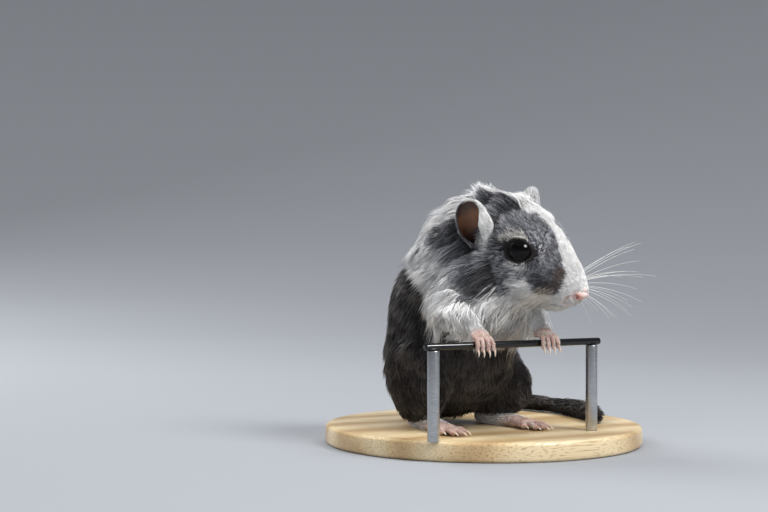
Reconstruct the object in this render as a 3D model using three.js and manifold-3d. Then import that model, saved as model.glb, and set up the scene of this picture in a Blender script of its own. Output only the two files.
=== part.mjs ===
// A life-size model of a pied grey gerbil, half risen on its haunches, with both hands on a cut length of wire.
// Millimetres, +Z up. The animal faces -Y and its left is +X.
// The origin is the middle of the underside of the stand's base.

import * as THREE from 'three';
import { LoftGeometry } from 'three/addons/geometries/LoftGeometry.js';
import { mergeVertices } from 'three/addons/utils/BufferGeometryUtils.js';
import Module from 'manifold-3d';

const wasm = await Module();
wasm.setup();

// Sizes that the rest is worked out from

const GAP = 0.3;                    // air kept between neighbouring pieces
const BASE_TOP = 5;                 // thickness of the stand's base
const FLOOR = BASE_TOP + GAP;       // level of the soles and of the tail's underside
const WIRE_HEIGHT = 28;             // axis of the wire above the table
const WIRE_RADIUS = 0.9;
const ROD_SPACING = 24;             // each rod's distance from the middle of the wire
const GRIP = 9.9;                   // each hand's distance from the middle of the wire
const EYE_RADIUS = 3.4;
const EAR_HEIGHT = 10.3;
const FOOT_LENGTH = 27;
const TAIL_RADIUS = 2.9;

// The base's middle, seen from the middle of the wire
const BASE_MIDDLE = new THREE.Vector3(9, 28, 0);
const BASE_HALF = new THREE.Vector2(42, 43);

// The head turns a little to its left, and hangs and rolls a few degrees
const EYES_AT = new THREE.Vector3(7.2, 0.7, 52);
const HEAD_YAW = THREE.MathUtils.degToRad(18);
const HEAD_PITCH = THREE.MathUtils.degToRad(14);
const HEAD_ROLL = THREE.MathUtils.degToRad(5);

const X_AXIS = new THREE.Vector3(1, 0, 0);
const Y_AXIS = new THREE.Vector3(0, 1, 0);
const Z_AXIS = new THREE.Vector3(0, 0, 1);

const at = (x, y, z) => new THREE.Vector3(x, y, z);

// Solids and meshes

function solid(geometry) {
  const bare = new THREE.BufferGeometry();
  bare.setAttribute('position', geometry.attributes.position.clone());
  bare.setIndex(geometry.index);
  const merged = mergeVertices(bare, 1e-4);
  return new wasm.Manifold(new wasm.Mesh({
    numProp: 3,
    vertProperties: Float32Array.from(merged.attributes.position.array),
    triVerts: Uint32Array.from(merged.index.array),
  }));
}

function join(solids) {
  return solids.reduce((whole, piece) => whole.add(piece));
}

function cut(whole, cutters) {
  return cutters.reduce((rest, cutter) => rest.subtract(cutter), whole);
}

// The largest closed surface of a solid, as a geometry
function shell(whole) {
  const pieces = whole.decompose();
  const largest = pieces.reduce((best, piece) => (piece.volume() > best.volume() ? piece : best));
  const mesh = largest.getMesh();
  const geometry = new THREE.BufferGeometry();
  geometry.setAttribute('position', new THREE.BufferAttribute(Float32Array.from(mesh.vertProperties), 3));
  geometry.setIndex(Array.from(mesh.triVerts));
  geometry.computeVertexNormals();
  return geometry;
}

// A body of flesh is a few ellipsoids that flow into one another

function mass(x, y, z, halfX, halfY, halfZ) {
  return { at: at(x, y, z), half: at(halfX, halfY, halfZ) };
}

function distanceTo(m, point) {
  const q = point.clone().sub(m.at).divide(m.half);
  const scaled = q.length();
  const slope = q.divide(m.half).length();
  return slope < 1e-6 ? -m.half.x : scaled * (scaled - 1) / slope;
}

function distanceToFlesh(masses, point, softness) {
  const sum = masses.reduce((total, m) => total + Math.exp(-distanceTo(m, point) / softness), 0);
  return -softness * Math.log(sum);
}

// The point where a ray from inside the flesh leaves it, or leaves it grown by some depth
function skinPoint(flesh, direction, grow = 0) {
  const stride = 0.5;
  const outside = (t) => {
    const point = flesh.middle.clone().addScaledVector(direction, t);
    return distanceToFlesh(flesh.masses, point, flesh.softness) > grow;
  };
  let far = 60;
  while (far > stride && outside(far - stride)) far -= stride;
  let near = far - stride;
  for (let i = 0; i < 16; i++) {
    const half = (near + far) / 2;
    if (outside(half)) far = half;
    else near = half;
  }
  return flesh.middle.clone().addScaledVector(direction, far);
}

function skinTowards(flesh, point, grow = 0) {
  return skinPoint(flesh, point.clone().sub(flesh.middle).normalize(), grow);
}

function skinNormal(flesh, point) {
  const d = 0.05;
  const value = (offset) => distanceToFlesh(flesh.masses, point.clone().add(offset), flesh.softness);
  const here = value(at(0, 0, 0));
  return at(value(at(d, 0, 0)) - here, value(at(0, d, 0)) - here, value(at(0, 0, d)) - here).normalize();
}

// A closed skin over the flesh: a sphere with each vertex sent out to the surface, its pole along 'pole'
function fleshGeometry(flesh, grow = 0) {
  const geometry = new THREE.SphereGeometry(1, flesh.sides, flesh.rings);
  const turn = new THREE.Quaternion().setFromUnitVectors(Y_AXIS, flesh.pole.clone().normalize());
  const position = geometry.attributes.position;
  const vertex = new THREE.Vector3();
  for (let i = 0; i < position.count; i++) {
    vertex.fromBufferAttribute(position, i);
    const polar = Math.acos(THREE.MathUtils.clamp(vertex.y, -1, 1));
    const crowded = polar - flesh.crowding * Math.sin(polar);
    const round = Math.atan2(vertex.z, vertex.x);
    vertex.set(Math.sin(crowded) * Math.cos(round), Math.cos(crowded), Math.sin(crowded) * Math.sin(round));
    vertex.copy(skinPoint(flesh, vertex.applyQuaternion(turn).normalize(), grow));
    position.setXYZ(i, vertex.x, vertex.y, vertex.z);
  }
  return geometry;
}

// A limb, toe, claw, lip or lock: an ellipse carried along a smooth path, with round or blunt ends

function limbGeometry(stations, options = {}) {
  const { sides = 10, steps = 3, side = X_AXIS, floor = -Infinity, roundStart = true, roundEnd = true } = options;
  const path = new THREE.CatmullRomCurve3(stations.map((s) => s.at), false, 'centripetal');
  const size = new THREE.CatmullRomCurve3(stations.map((s) => at(s.wide, s.thick, 0)), false, 'centripetal');
  const across = new THREE.CatmullRomCurve3(stations.map((s) => s.side ?? side), false, 'centripetal');
  const count = (stations.length - 1) * steps;
  const sections = [];
  const ring = (middle, tangent, hint, wide, thick) => {
    const s = hint.clone().addScaledVector(tangent, -hint.dot(tangent)).normalize();
    const n = tangent.clone().cross(s);
    const points = [];
    for (let i = 0; i < sides; i++) {
      const angle = (i / sides) * Math.PI * 2;
      const point = middle.clone().addScaledVector(s, Math.cos(angle) * wide);
      point.addScaledVector(n, Math.sin(angle) * thick);
      point.z = Math.max(point.z, floor);
      points.push(point);
    }
    sections.push(points);
  };
  // How far out and how wide the extra rings are that round an end, as shares of its half thickness
  const domes = sides > 6 ? [[0.9, 0.42], [0.55, 0.82]] : [[0.7, 0.62]];
  const tangentStart = path.getTangent(0);
  const tangentEnd = path.getTangent(1);
  const start = size.getPoint(0);
  const end = size.getPoint(1);
  if (roundStart) {
    for (const [reach, narrow] of domes) {
      const middle = path.getPoint(0).addScaledVector(tangentStart, -reach * Math.min(start.x, start.y));
      ring(middle, tangentStart, across.getPoint(0), start.x * narrow, start.y * narrow);
    }
  }
  for (let i = 0; i <= count; i++) {
    const t = i / count;
    const s = size.getPoint(t);
    ring(path.getPoint(t), path.getTangent(t), across.getPoint(t), Math.max(s.x, 0.05), Math.max(s.y, 0.05));
  }
  if (roundEnd) {
    for (const [reach, narrow] of domes.toReversed()) {
      const middle = path.getPoint(1).addScaledVector(tangentEnd, reach * Math.min(end.x, end.y));
      ring(middle, tangentEnd, across.getPoint(1), end.x * narrow, end.y * narrow);
    }
  }
  return new LoftGeometry(sections, { capStart: true, capEnd: true });
}

const station = (place, wide, thick = wide, side = undefined) => ({ at: place, wide, thick, side });

const grown = (stations, by = GAP) => stations.map((s) => ({ ...s, wide: s.wide + by, thick: s.thick + by }));

// Head, in its own frame: x ahead to the nose, y to its left, z up, from the point midway between the eyes

const headFlesh = {
  middle: at(0, 0, -3),
  pole: X_AXIS,
  crowding: 0.3,
  sides: 28,
  rings: 22,
  softness: 1.1,
  masses: [
    mass(-8, 0, -1.8, 11.5, 10.2, 10.6),
    mass(-1.2, 0, -0.8, 8.2, 6.9, 7.6),
    mass(5, 0, -3.6, 8.4, 5.6, 6),
    mass(10, 0, -6.8, 5.6, 4.3, 4.9),
    mass(10.4, 2.5, -8.2, 4.2, 2.7, 2.8),
    mass(10.4, -2.5, -8.2, 4.2, 2.7, 2.8),
    mass(-1.2, 5.4, -7.2, 7.6, 4.6, 6.2),
    mass(-1.2, -5.4, -7.2, 7.6, 4.6, 6.2),
    mass(6, 0, -11.2, 5.4, 3.3, 2.7),
    mass(-4, 0, -8.6, 8.5, 7.4, 6.2),
  ],
};

function headMatrix() {
  const ahead = at(Math.sin(HEAD_YAW), -Math.cos(HEAD_YAW), 0);
  const left = at(Math.cos(HEAD_YAW), Math.sin(HEAD_YAW), 0);
  const fall = new THREE.Quaternion().setFromAxisAngle(left, HEAD_PITCH);
  ahead.applyQuaternion(fall);
  const roll = new THREE.Quaternion().setFromAxisAngle(ahead, HEAD_ROLL);
  left.applyQuaternion(roll);
  const up = ahead.clone().cross(left);
  return new THREE.Matrix4().makeBasis(ahead, left, up).setPosition(EYES_AT);
}

const HEAD_TURN = headMatrix();

function eyeMiddle(side) {
  return at(-0.5, side * 5.9, -0.4);
}

function eyeLook(side) {
  return at(0.28, side * 0.93, 0.2).normalize();
}

function eyeBall(side, grow = 0) {
  const middle = eyeMiddle(side);
  const ball = new THREE.SphereGeometry(EYE_RADIUS + grow, 16, 10);
  return ball.applyQuaternion(new THREE.Quaternion().setFromUnitVectors(Y_AXIS, eyeLook(side)))
    .translate(middle.x, middle.y, middle.z);
}

// The rim of both lids: a ring round the eye's opening, drawn out a little at the front and back corners
const LID_RADIUS = 3.2;

function lids(side) {
  const look = eyeLook(side);
  const back = at(-1, 0, -0.15).addScaledVector(look, look.x).normalize();
  const up = look.clone().cross(back).multiplyScalar(side).normalize();
  const corner = 0.35;
  const ring = new THREE.TorusGeometry(LID_RADIUS, 0.62, 5, 16);
  const position = ring.attributes.position;
  for (let i = 0; i < position.count; i++) {
    const x = position.getX(i);
    const y = position.getY(i);
    const reach = Math.abs(Math.cos(Math.atan2(y, x))) ** 8;
    position.setX(i, x * (1 + corner * reach / LID_RADIUS));
    position.setY(i, y * 0.9);
  }
  const frame = new THREE.Matrix4().makeBasis(up.clone().cross(look), up, look);
  frame.setPosition(eyeMiddle(side).addScaledVector(look, 1.55));
  return ring.applyMatrix4(frame);
}

// One half of the mouth's line, from its front to the corner, laid on the skin and raised or lowered by 'lift'
function mouthStations(side, lift, sink, thick) {
  const line = [at(14.4, 0, -9.9), at(13.4, side * 1.6, -10.4), at(10.8, side * 3.4, -11), at(7.8, side * 4.6, -11)];
  return line.map((point) => {
    const skin = skinTowards(headFlesh, point.clone().add(at(0, 0, lift)));
    const place = skin.addScaledVector(skinNormal(headFlesh, skin), -sink);
    return station(place, thick);
  });
}

function noseBody(grow = 0) {
  const pad = new THREE.SphereGeometry(1, 12, 9);
  pad.scale(1.9 + grow, 2.3 + grow, 1.7 + grow);
  return pad.translate(15.0, 0, -7.0);
}

function nose() {
  const nostrils = [-1, 1].map((side) => {
    const hole = new THREE.SphereGeometry(1, 8, 6);
    hole.scale(1.1, 0.45, 0.5);
    hole.rotateZ(side * 0.55);
    return solid(hole.translate(16.7, side * 1.2, -7.5));
  });
  return shell(cut(solid(noseBody()), nostrils));
}

function head() {
  const lipParts = [];
  const grooves = [];
  const upright = { sides: 6, steps: 1, side: Z_AXIS };
  for (const side of [-1, 1]) {
    lipParts.push(solid(limbGeometry(mouthStations(side, 1.1, 0.35, 0.8), upright)));
    lipParts.push(solid(limbGeometry(mouthStations(side, -1.0, 0.35, 0.75), upright)));
    grooves.push(solid(limbGeometry(mouthStations(side, 0, 0, 0.45), upright)));
  }
  const philtrum = [at(16.2, 0, -8.4), at(15.4, 0, -9.2), at(14.2, 0, -10)].map((point) => {
    return station(skinTowards(headFlesh, point), 0.35, 0.5);
  });
  grooves.push(solid(limbGeometry(philtrum, { sides: 6, steps: 1, side: Y_AXIS })));
  const whole = join([solid(fleshGeometry(headFlesh)), solid(lids(-1)), solid(lids(1)), ...lipParts]);
  const cutters = [solid(eyeBall(-1, GAP)), solid(eyeBall(1, GAP)), solid(noseBody(GAP)), ...grooves];
  return shell(cut(whole, cutters));
}

// Each ear is a cupped leaf about a millimetre thick, rolled at its root and open to the side and ahead
const EAR_WIDTHS = [2.4, 3.3, 4.1, 4.5, 4.5, 4.1, 3.2, 1.8];
const EAR_ROLL = [125, 112, 95, 80, 68, 58, 50, 44];

// The left ear is pricked; the right one is turned out and back, and lies lower
function earPose(root, rise, open) {
  rise.normalize();
  open.addScaledVector(rise, -open.dot(rise)).normalize();
  return { root, rise, open };
}

const EAR_POSES = {
  1: earPose(at(-11.6, 7.6, 2.8), at(-0.12, 0.42, 0.9), at(0.5, 0.84, -0.2)),
  '-1': earPose(at(-12, -8, 0.4), at(-0.34, -0.34, 0.88), at(0.55, -0.83, -0.05)),
};

function earLevels(side) {
  const { root, rise, open } = EAR_POSES[side];
  return EAR_WIDTHS.map((halfWidth, i) => {
    const share = i / (EAR_WIDTHS.length - 1);
    const half = THREE.MathUtils.degToRad(EAR_ROLL[i]);
    const radius = halfWidth / Math.sin(Math.min(half, Math.PI / 2));
    const middle = root.clone().addScaledVector(rise, -3 + (EAR_HEIGHT + 3) * share ** 0.9);
    middle.addScaledVector(open, 0.7 * Math.sin(share * Math.PI));
    const edge = radius * Math.max(Math.cos(half), -0.35);
    return { middle, halfWidth, half, radius, edge, wall: THREE.MathUtils.lerp(0.55, 0.36, share) };
  });
}

function earSections(side) {
  const { rise, open } = EAR_POSES[side];
  const across = open.clone().cross(rise).normalize();
  const arc = 8;
  return earLevels(side).map(({ middle, half, radius, edge, wall }) => {
    const points = [];
    const place = (angle, r) => {
      const point = middle.clone().addScaledVector(across, Math.sin(angle) * r);
      return point.addScaledVector(open, edge - Math.cos(angle) * r);
    };
    for (let k = 0; k <= arc; k++) points.push(place(half * (2 * k / arc - 1), radius + wall));
    for (let k = arc; k >= 0; k--) points.push(place(half * (2 * k / arc - 1), radius - wall));
    return points;
  });
}

const grownHead = solid(fleshGeometry(headFlesh, GAP).applyMatrix4(HEAD_TURN));

// Torso and neck share one body of flesh, parted by a flat cut behind the shoulders' top

const bodyFlesh = {
  middle: at(0.5, 25, 33),
  pole: at(0.1, -0.6, 0.8),
  crowding: 0,
  sides: 26,
  rings: 19,
  softness: 1.6,
  masses: [
    mass(1, 9.5, 40, 9.8, 8.8, 9.5),
    mass(0.5, 18, 40, 12.5, 12, 12.8),
    mass(0, 31, 36.5, 16.2, 16.2, 16),
    mass(0, 32.5, 24, 16.8, 16.8, 15.8),
    mass(0, 35, 15, 14, 12.5, 8.8),
    mass(0, 20, 24, 11.8, 10.5, 12),
    mass(2.2, 18.6, 50.5, 12.8, 12.2, 12.8),
    mass(4, 8.5, 44, 10.2, 8.8, 9.2),
  ],
};

function ear(side) {
  const cup = new LoftGeometry(earSections(side), { capStart: true, capEnd: true });
  return shell(solid(cup).subtract(solid(fleshGeometry(headFlesh, GAP))));
}

// The room that the neck's coat leaves round an ear
function earWell(side) {
  const { rise, open } = EAR_POSES[side];
  const across = open.clone().cross(rise).normalize();
  const room = 1.9;
  const stations = earLevels(side).map(({ middle, halfWidth, radius, edge, wall }) => {
    const depth = (radius - edge + wall) / 2;
    return station(middle.addScaledVector(open, -depth), halfWidth + wall + room, depth + room, across);
  });
  return solid(limbGeometry(stations, { sides: 10, steps: 1 }).applyMatrix4(HEAD_TURN));
}

// A lock along its length: how far it stands out of the coat, its width as a share, and its half thickness
const LOCK_PROFILE = [
  { along: 0, rise: -1.3, width: 0.8, thick: 0.6 },
  { along: 0.32, rise: 0.35, width: 1, thick: 0.7 },
  { along: 0.7, rise: 0.7, width: 0.75, thick: 0.5 },
  { along: 1, rise: 1, width: 0.2, thick: 0.26 },
];

function lockGeometry(stations, floor = -Infinity) {
  return limbGeometry(stations, { sides: 4, steps: 1, roundStart: false, roundEnd: false, floor });
}

// A flat lock that starts sunk in the coat, follows it along its lie and lifts towards the tip
function lock(flesh, root, lie, { long, wide, lift }) {
  const stations = LOCK_PROFILE.map(({ along, rise, width, thick }) => {
    const skin = skinTowards(flesh, root.clone().addScaledVector(lie, long * along));
    const normal = skinNormal(flesh, skin);
    const place = skin.clone().addScaledVector(normal, rise < 0 ? rise : rise * lift);
    return station(place, width * wide / 2, thick, lie.clone().cross(normal).normalize());
  });
  return solid(lockGeometry(stations));
}

// A seeded draw between -1 and 1
let seed = 7;
function draw() {
  seed = (seed * 16807) % 2147483647;
  return 2 * seed / 2147483647 - 1;
}

// The ruff: tiers of locks round the neck, from behind the ears and cheeks down to the shoulders and chest.
// 'polar' is a tier's angle from the line that runs out of the neck through the face,
// and 'reach' is the share of the circle that it covers, centred on the nape
const RUFF_MIDDLE = at(2.4, 17, 49);
const RUFF_AXIS = at(0.3, -0.92, 0.12).normalize();
const RUFF_TIERS = [
  { polar: 60, count: 11, reach: 1, long: 8.5, wide: 6, lift: 2.6 },
  { polar: 80, count: 11, reach: 1, long: 9.5, wide: 6.9, lift: 3.1 },
  { polar: 100, count: 12, reach: 1, long: 10, wide: 7, lift: 3.1 },
  { polar: 119, count: 6, reach: 0.5, long: 9.5, wide: 7, lift: 2.8 },
  { polar: 139, count: 6, reach: 0.42, long: 9.5, wide: 7, lift: 2.2 },
];

function ruffLocks() {
  const flesh = { ...bodyFlesh, middle: RUFF_MIDDLE };
  const up = Z_AXIS.clone().addScaledVector(RUFF_AXIS, -RUFF_AXIS.z).normalize();
  const across = RUFF_AXIS.clone().cross(up);
  const locks = [];
  RUFF_TIERS.forEach((tier, row) => {
    for (let i = 0; i < tier.count; i++) {
      const share = (i + 0.5 * (row % 2) + 0.25 * draw()) / tier.count - 0.5;
      const round = 2 * Math.PI * tier.reach * share;
      const polar = THREE.MathUtils.degToRad(tier.polar + 4 * draw());
      const out = up.clone().multiplyScalar(Math.cos(round)).addScaledVector(across, Math.sin(round));
      const towards = RUFF_AXIS.clone().multiplyScalar(Math.cos(polar)).addScaledVector(out, Math.sin(polar));
      const root = skinPoint(flesh, towards);
      const normal = skinNormal(flesh, root);
      const lie = out.multiplyScalar(0.25).addScaledVector(RUFF_AXIS, -1).addScaledVector(Z_AXIS, -0.35);
      lie.addScaledVector(across, 0.2 * draw());
      lie.addScaledVector(normal, -lie.dot(normal)).normalize();
      const long = tier.long * (1 + 0.15 * draw());
      locks.push(lock(flesh, root, lie, { long, wide: tier.wide, lift: tier.lift * (1 + 0.3 * draw()) }));
    }
  });
  return join(locks);
}

const NECK_CUT = at(1.5, 20, 44);
const NECK_AXIS = at(0.12, -0.62, 0.78).normalize();

// A large block whose one face lies at 'place' and whose body fills the side that 'away' looks to
function halfSpace(place, away) {
  const size = 200;
  const block = new THREE.BoxGeometry(size, size, size).translate(0, 0, size / 2);
  block.applyQuaternion(new THREE.Quaternion().setFromUnitVectors(Z_AXIS, away.clone().normalize()));
  return solid(block.translate(place.x, place.y, place.z));
}

// Arms: shoulder, elbow, forearm and wrist
function armStations(side) {
  return [
    station(at(side * 8.2, 21, 36.5), 3.6, 4.2),
    station(at(side * 10, 14.5, 36), 3.3, 3.8),
    station(at(side * 10.6, 9, 34.8), 2.8, 3),
    station(at(side * GRIP, 3.9, 32.2), 2, 2),
  ];
}

function arm(side) {
  const whole = solid(limbGeometry(armStations(side), { steps: 4, roundEnd: false }));
  return shell(whole.subtract(grownHead));
}

const FINGER_OFFSETS = [-2.15, -0.75, 0.7, 2.05];
const FINGER_LENGTHS = [0.86, 1, 1, 0.84];

// Each hand lies over the wire, its four fingers hooked down over the front, each with a small claw
function hand(side) {
  const x = side * GRIP;
  const top = WIRE_HEIGHT;
  const palm = [
    station(at(x, 3.55, 31.9), 1.7, 1.5),
    station(at(x, 2.3, 31.2), 2.2, 1.35),
    station(at(x, 0.6, 30.6), 2.7, 0.95),
  ];
  const pieces = [solid(limbGeometry(palm, { steps: 2, sides: 10, roundStart: false }))];
  FINGER_OFFSETS.forEach((offset, i) => {
    const long = FINGER_LENGTHS[i];
    const finger = [
      station(at(x + side * offset * 0.9, 1.2, top + 2.3), 0.62),
      station(at(x + side * offset, -1.2, top + 1.85), 0.7),
      station(at(x + side * offset * 1.1, -2.1, top + 0.3), 0.64),
      station(at(x + side * offset * 1.16, -2.15, top - 1.2 * long), 0.56),
    ];
    const claw = [
      station(at(x + side * offset * 1.16, -2.2, top - 1.1 * long), 0.32, 0.38),
      station(at(x + side * offset * 1.18, -2.55, top - 2.1 * long), 0.27, 0.32),
      station(at(x + side * offset * 1.2, -2.4, top - 3 * long), 0.12, 0.14),
    ];
    pieces.push(solid(limbGeometry(finger, { sides: 6, steps: 1, roundStart: false })));
    pieces.push(solid(lockGeometry(claw)));
  });
  const wire = new THREE.CylinderGeometry(WIRE_RADIUS + GAP, WIRE_RADIUS + GAP, 60, 16);
  wire.rotateZ(Math.PI / 2).translate(0, 0, WIRE_HEIGHT);
  const forearm = solid(limbGeometry(grown(armStations(side)), { steps: 4, roundEnd: true }));
  return shell(cut(join(pieces), [solid(wire), forearm]));
}

// Hind legs: the thigh with the shank under it, then the long foot flat on the base

function thighFlesh(side) {
  return {
    middle: at(side * 12.5, 26, 17),
    pole: at(side, 0, 0),
    crowding: 0,
    sides: 18,
    rings: 12,
    softness: 1.2,
    masses: [
      mass(side * 11.6, 28.5, 19, 7, 11, 11.4),
      mass(side * 13.4, 19, 15.5, 4.4, 6.4, 6.2),
      mass(side * 11.8, 26.5, 10.2, 3.8, 7.8, 3.9),
    ],
  };
}

const HEEL = 31;                    // the heel's distance behind the wire
const LONGEST_TOE = 7.5;
const KNUCKLES = HEEL - FOOT_LENGTH + LONGEST_TOE;
const BALL_OF_FOOT = 12.6;          // the ball's distance from the animal's middle

function footStations(side) {
  return [
    station(at(side * 10.6, HEEL, FLOOR + 1.6), 2.0, 2.2),
    station(at(side * 11.2, HEEL - 7, FLOOR + 1.3), 2.2, 2.1),
    station(at(side * 12, HEEL - 14, FLOOR + 1.2), 2.7, 1.9),
    station(at(side * BALL_OF_FOOT, KNUCKLES, FLOOR + 1.0), 3.3, 1.7),
  ];
}

const TOE_OFFSETS = [-2.5, -1.35, 0, 1.35, 2.5];
const TOE_LENGTHS = [3.2, 6.4, LONGEST_TOE, 6.6, 3.6];

function foot(side) {
  const pieces = [solid(limbGeometry(footStations(side), { floor: FLOOR, steps: 2 }))];
  TOE_OFFSETS.forEach((offset, i) => {
    const x = side * (BALL_OF_FOOT + offset);
    const long = TOE_LENGTHS[i];
    const fan = side * offset * 0.3;
    const toe = [
      station(at(x, KNUCKLES + 1.5, FLOOR + 0.9), 0.85),
      station(at(x + fan * 0.5, KNUCKLES - long * 0.5, FLOOR + 0.85), 0.8),
      station(at(x + fan, KNUCKLES - long + 1.2, FLOOR + 0.6), 0.62),
    ];
    const claw = [
      station(at(x + fan, KNUCKLES - long + 1.3, FLOOR + 0.75), 0.36, 0.4),
      station(at(x + fan * 1.1, KNUCKLES - long - 0.2, FLOOR + 0.7), 0.26, 0.3),
      station(at(x + fan * 1.2, KNUCKLES - long - 1.3, FLOOR + 0.25), 0.1, 0.12),
    ];
    pieces.push(solid(limbGeometry(toe, { sides: 6, steps: 1, floor: FLOOR, roundStart: false })));
    pieces.push(solid(lockGeometry(claw, FLOOR)));
  });
  const leg = solid(fleshGeometry(thighFlesh(side), GAP));
  return shell(join(pieces).subtract(leg));
}

function thigh(side) {
  const soles = new THREE.BoxGeometry(80, 80, 10).translate(0, 20, FLOOR - 5);
  return shell(solid(fleshGeometry(thighFlesh(side))).subtract(solid(soles)));
}

// The tail leaves the rump and lies round the left side of the base
const TAIL_PATH = [
  at(0, 41, 10), at(1.5, 50, 8.4), at(8, 58.5, 8), at(19, 62.5, 7.9), at(31, 59, 7.7),
  at(38.5, 49, 7.5), at(41, 36, 7.4), at(39.5, 23, 7.2), at(35, 12, 7.1),
];
const TAIL_THICKNESS = [1.35, 1.15, 1, 0.94, 0.88, 0.82, 0.78, 0.76, 0.5];

function tailStations(first, last) {
  const list = [];
  for (let i = first; i <= last; i++) list.push(station(TAIL_PATH[i], TAIL_RADIUS * TAIL_THICKNESS[i]));
  return list;
}

function tailWhole(grow = 0) {
  const stations = grow ? grown(tailStations(0, 8), grow) : tailStations(0, 8);
  return solid(limbGeometry(stations, { side: Z_AXIS, steps: 3, floor: FLOOR - grow, sides: 10 }));
}

function betweenCuts(whole, first, second) {
  const cutters = [];
  if (first) cutters.push(halfSpace(first.place, first.along.clone().negate()));
  if (second) cutters.push(halfSpace(second.place.clone().addScaledVector(second.along, -GAP), second.along));
  return cut(whole, cutters);
}

const TAIL_CUTS = [
  { place: at(19, 62.5, 8), along: at(1, 0.05, 0).normalize() },
  { place: at(39.3, 45, 7.6), along: at(0.25, -1, 0).normalize() },
];

// The brush: locks along the last stretch of the tail, over its top and sides
const BRUSH_ROWS = [0.81, 0.89, 0.97];
const BRUSH_ANGLES = [-80, 0, 80];

function brushLocks() {
  const path = new THREE.CatmullRomCurve3(TAIL_PATH, false, 'centripetal');
  const radius = TAIL_RADIUS * 0.7;
  const locks = [];
  BRUSH_ROWS.forEach((t, row) => {
    const middle = path.getPointAt(t);
    const tangent = path.getTangentAt(t);
    const level = tangent.clone().cross(Z_AXIS).normalize();
    BRUSH_ANGLES.forEach((angle) => {
      const round = THREE.MathUtils.degToRad(angle + 12 * (row % 2) + 6 * draw());
      const out = Z_AXIS.clone().multiplyScalar(Math.cos(round)).addScaledVector(level, Math.sin(round));
      const long = 8.5 * (1 + 0.12 * draw());
      const stations = LOCK_PROFILE.map(({ along, rise, width, thick }) => {
        const place = middle.clone().addScaledVector(tangent, long * along);
        place.addScaledVector(out, radius + (rise < 0 ? rise : 1.3 * rise) - 0.4);
        return station(place, width * 2, thick, out.clone().cross(tangent));
      });
      locks.push(solid(lockGeometry(stations, FLOOR)));
    });
  });
  return join(locks);
}

// Put the nodes together

const COLOURS = {
  slate: 0x5b5e66, darkCoat: 0x3a3637, white: 0xe6e2dc, skin: 0xd9a394, eye: 0x0d0a0a,
  nose: 0xd98f7e, wire: 0x17181a, base: 0xb9b4aa, rod: 0x9fa3a8, tail: 0x4a4444,
};

function node(parent, name, geometry, colour, roughness = 0.8, metalness = 0) {
  const mesh = new THREE.Mesh(geometry, new THREE.MeshStandardMaterial({ color: colour, roughness, metalness }));
  mesh.name = name;
  parent.add(mesh);
  return mesh;
}

const gerbil = new THREE.Group();
gerbil.position.set(-BASE_MIDDLE.x, -BASE_MIDDLE.y, 0);

const headGroup = new THREE.Group();
headGroup.applyMatrix4(HEAD_TURN);
gerbil.add(headGroup);

node(headGroup, 'head', head(), COLOURS.slate);
node(headGroup, 'nose', nose(), COLOURS.nose, 0.5);
for (const [name, side] of [['left', 1], ['right', -1]]) {
  node(headGroup, `eye_${name}`, shell(solid(eyeBall(side))), COLOURS.eye, 0.05);
  node(headGroup, `ear_${name}`, ear(side), COLOURS.skin, 0.7);
}

const wholeBody = solid(fleshGeometry(bodyFlesh));
const grownLimbs = [];
for (const side of [-1, 1]) {
  grownLimbs.push(solid(limbGeometry(grown(armStations(side)), { steps: 4 })));
  grownLimbs.push(solid(fleshGeometry(thighFlesh(side), GAP)));
  grownLimbs.push(solid(limbGeometry(grown(footStations(side)), { floor: FLOOR - GAP, steps: 2 })));
}
const underBody = solid(new THREE.BoxGeometry(100, 100, 20).translate(0, 20, FLOOR + 0.5 - 10));

const belowCut = halfSpace(NECK_CUT, NECK_AXIS.clone().negate());
const aboveCut = halfSpace(NECK_CUT.clone().addScaledVector(NECK_AXIS, GAP), NECK_AXIS);
const grownTorso = solid(fleshGeometry(bodyFlesh, GAP)).intersect(belowCut);
const torsoCutters = [tailWhole(GAP), underBody, ...grownLimbs];
const neckCutters = [grownHead, earWell(-1), earWell(1), ...grownLimbs];
const torso = cut(wholeBody.intersect(belowCut), torsoCutters);
const neck = cut(wholeBody.intersect(aboveCut).add(ruffLocks().subtract(grownTorso)), neckCutters);
node(gerbil, 'torso', shell(torso), COLOURS.darkCoat);
node(gerbil, 'neck', shell(neck), COLOURS.white);

for (const [name, side] of [['left', 1], ['right', -1]]) {
  node(gerbil, `arm_${name}`, arm(side), COLOURS.white);
  node(gerbil, `hand_${name}`, hand(side), COLOURS.skin, 0.6);
  node(gerbil, `thigh_${name}`, thigh(side), COLOURS.darkCoat);
  node(gerbil, `foot_${name}`, foot(side), COLOURS.skin, 0.6);
}

node(gerbil, 'tail_base', shell(betweenCuts(tailWhole(), null, TAIL_CUTS[0])), COLOURS.tail);
node(gerbil, 'tail_middle', shell(betweenCuts(tailWhole(), TAIL_CUTS[0], TAIL_CUTS[1])), COLOURS.tail);
node(gerbil, 'tail_end', shell(betweenCuts(tailWhole(), TAIL_CUTS[1], null).add(brushLocks())), COLOURS.tail);

// The stand: an oval base, two rods and the cut length of wire that they carry

function standBase() {
  const bevel = 0.8;
  const outline = new THREE.Shape();
  outline.absellipse(0, 0, BASE_HALF.x - bevel, BASE_HALF.y - bevel, 0, Math.PI * 2);
  const plate = new THREE.ExtrudeGeometry(outline, {
    depth: BASE_TOP - 2 * bevel, bevelThickness: bevel, bevelSize: bevel, bevelSegments: 1, curveSegments: 24,
  });
  return shell(solid(plate.translate(BASE_MIDDLE.x, BASE_MIDDLE.y, bevel)));
}

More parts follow.
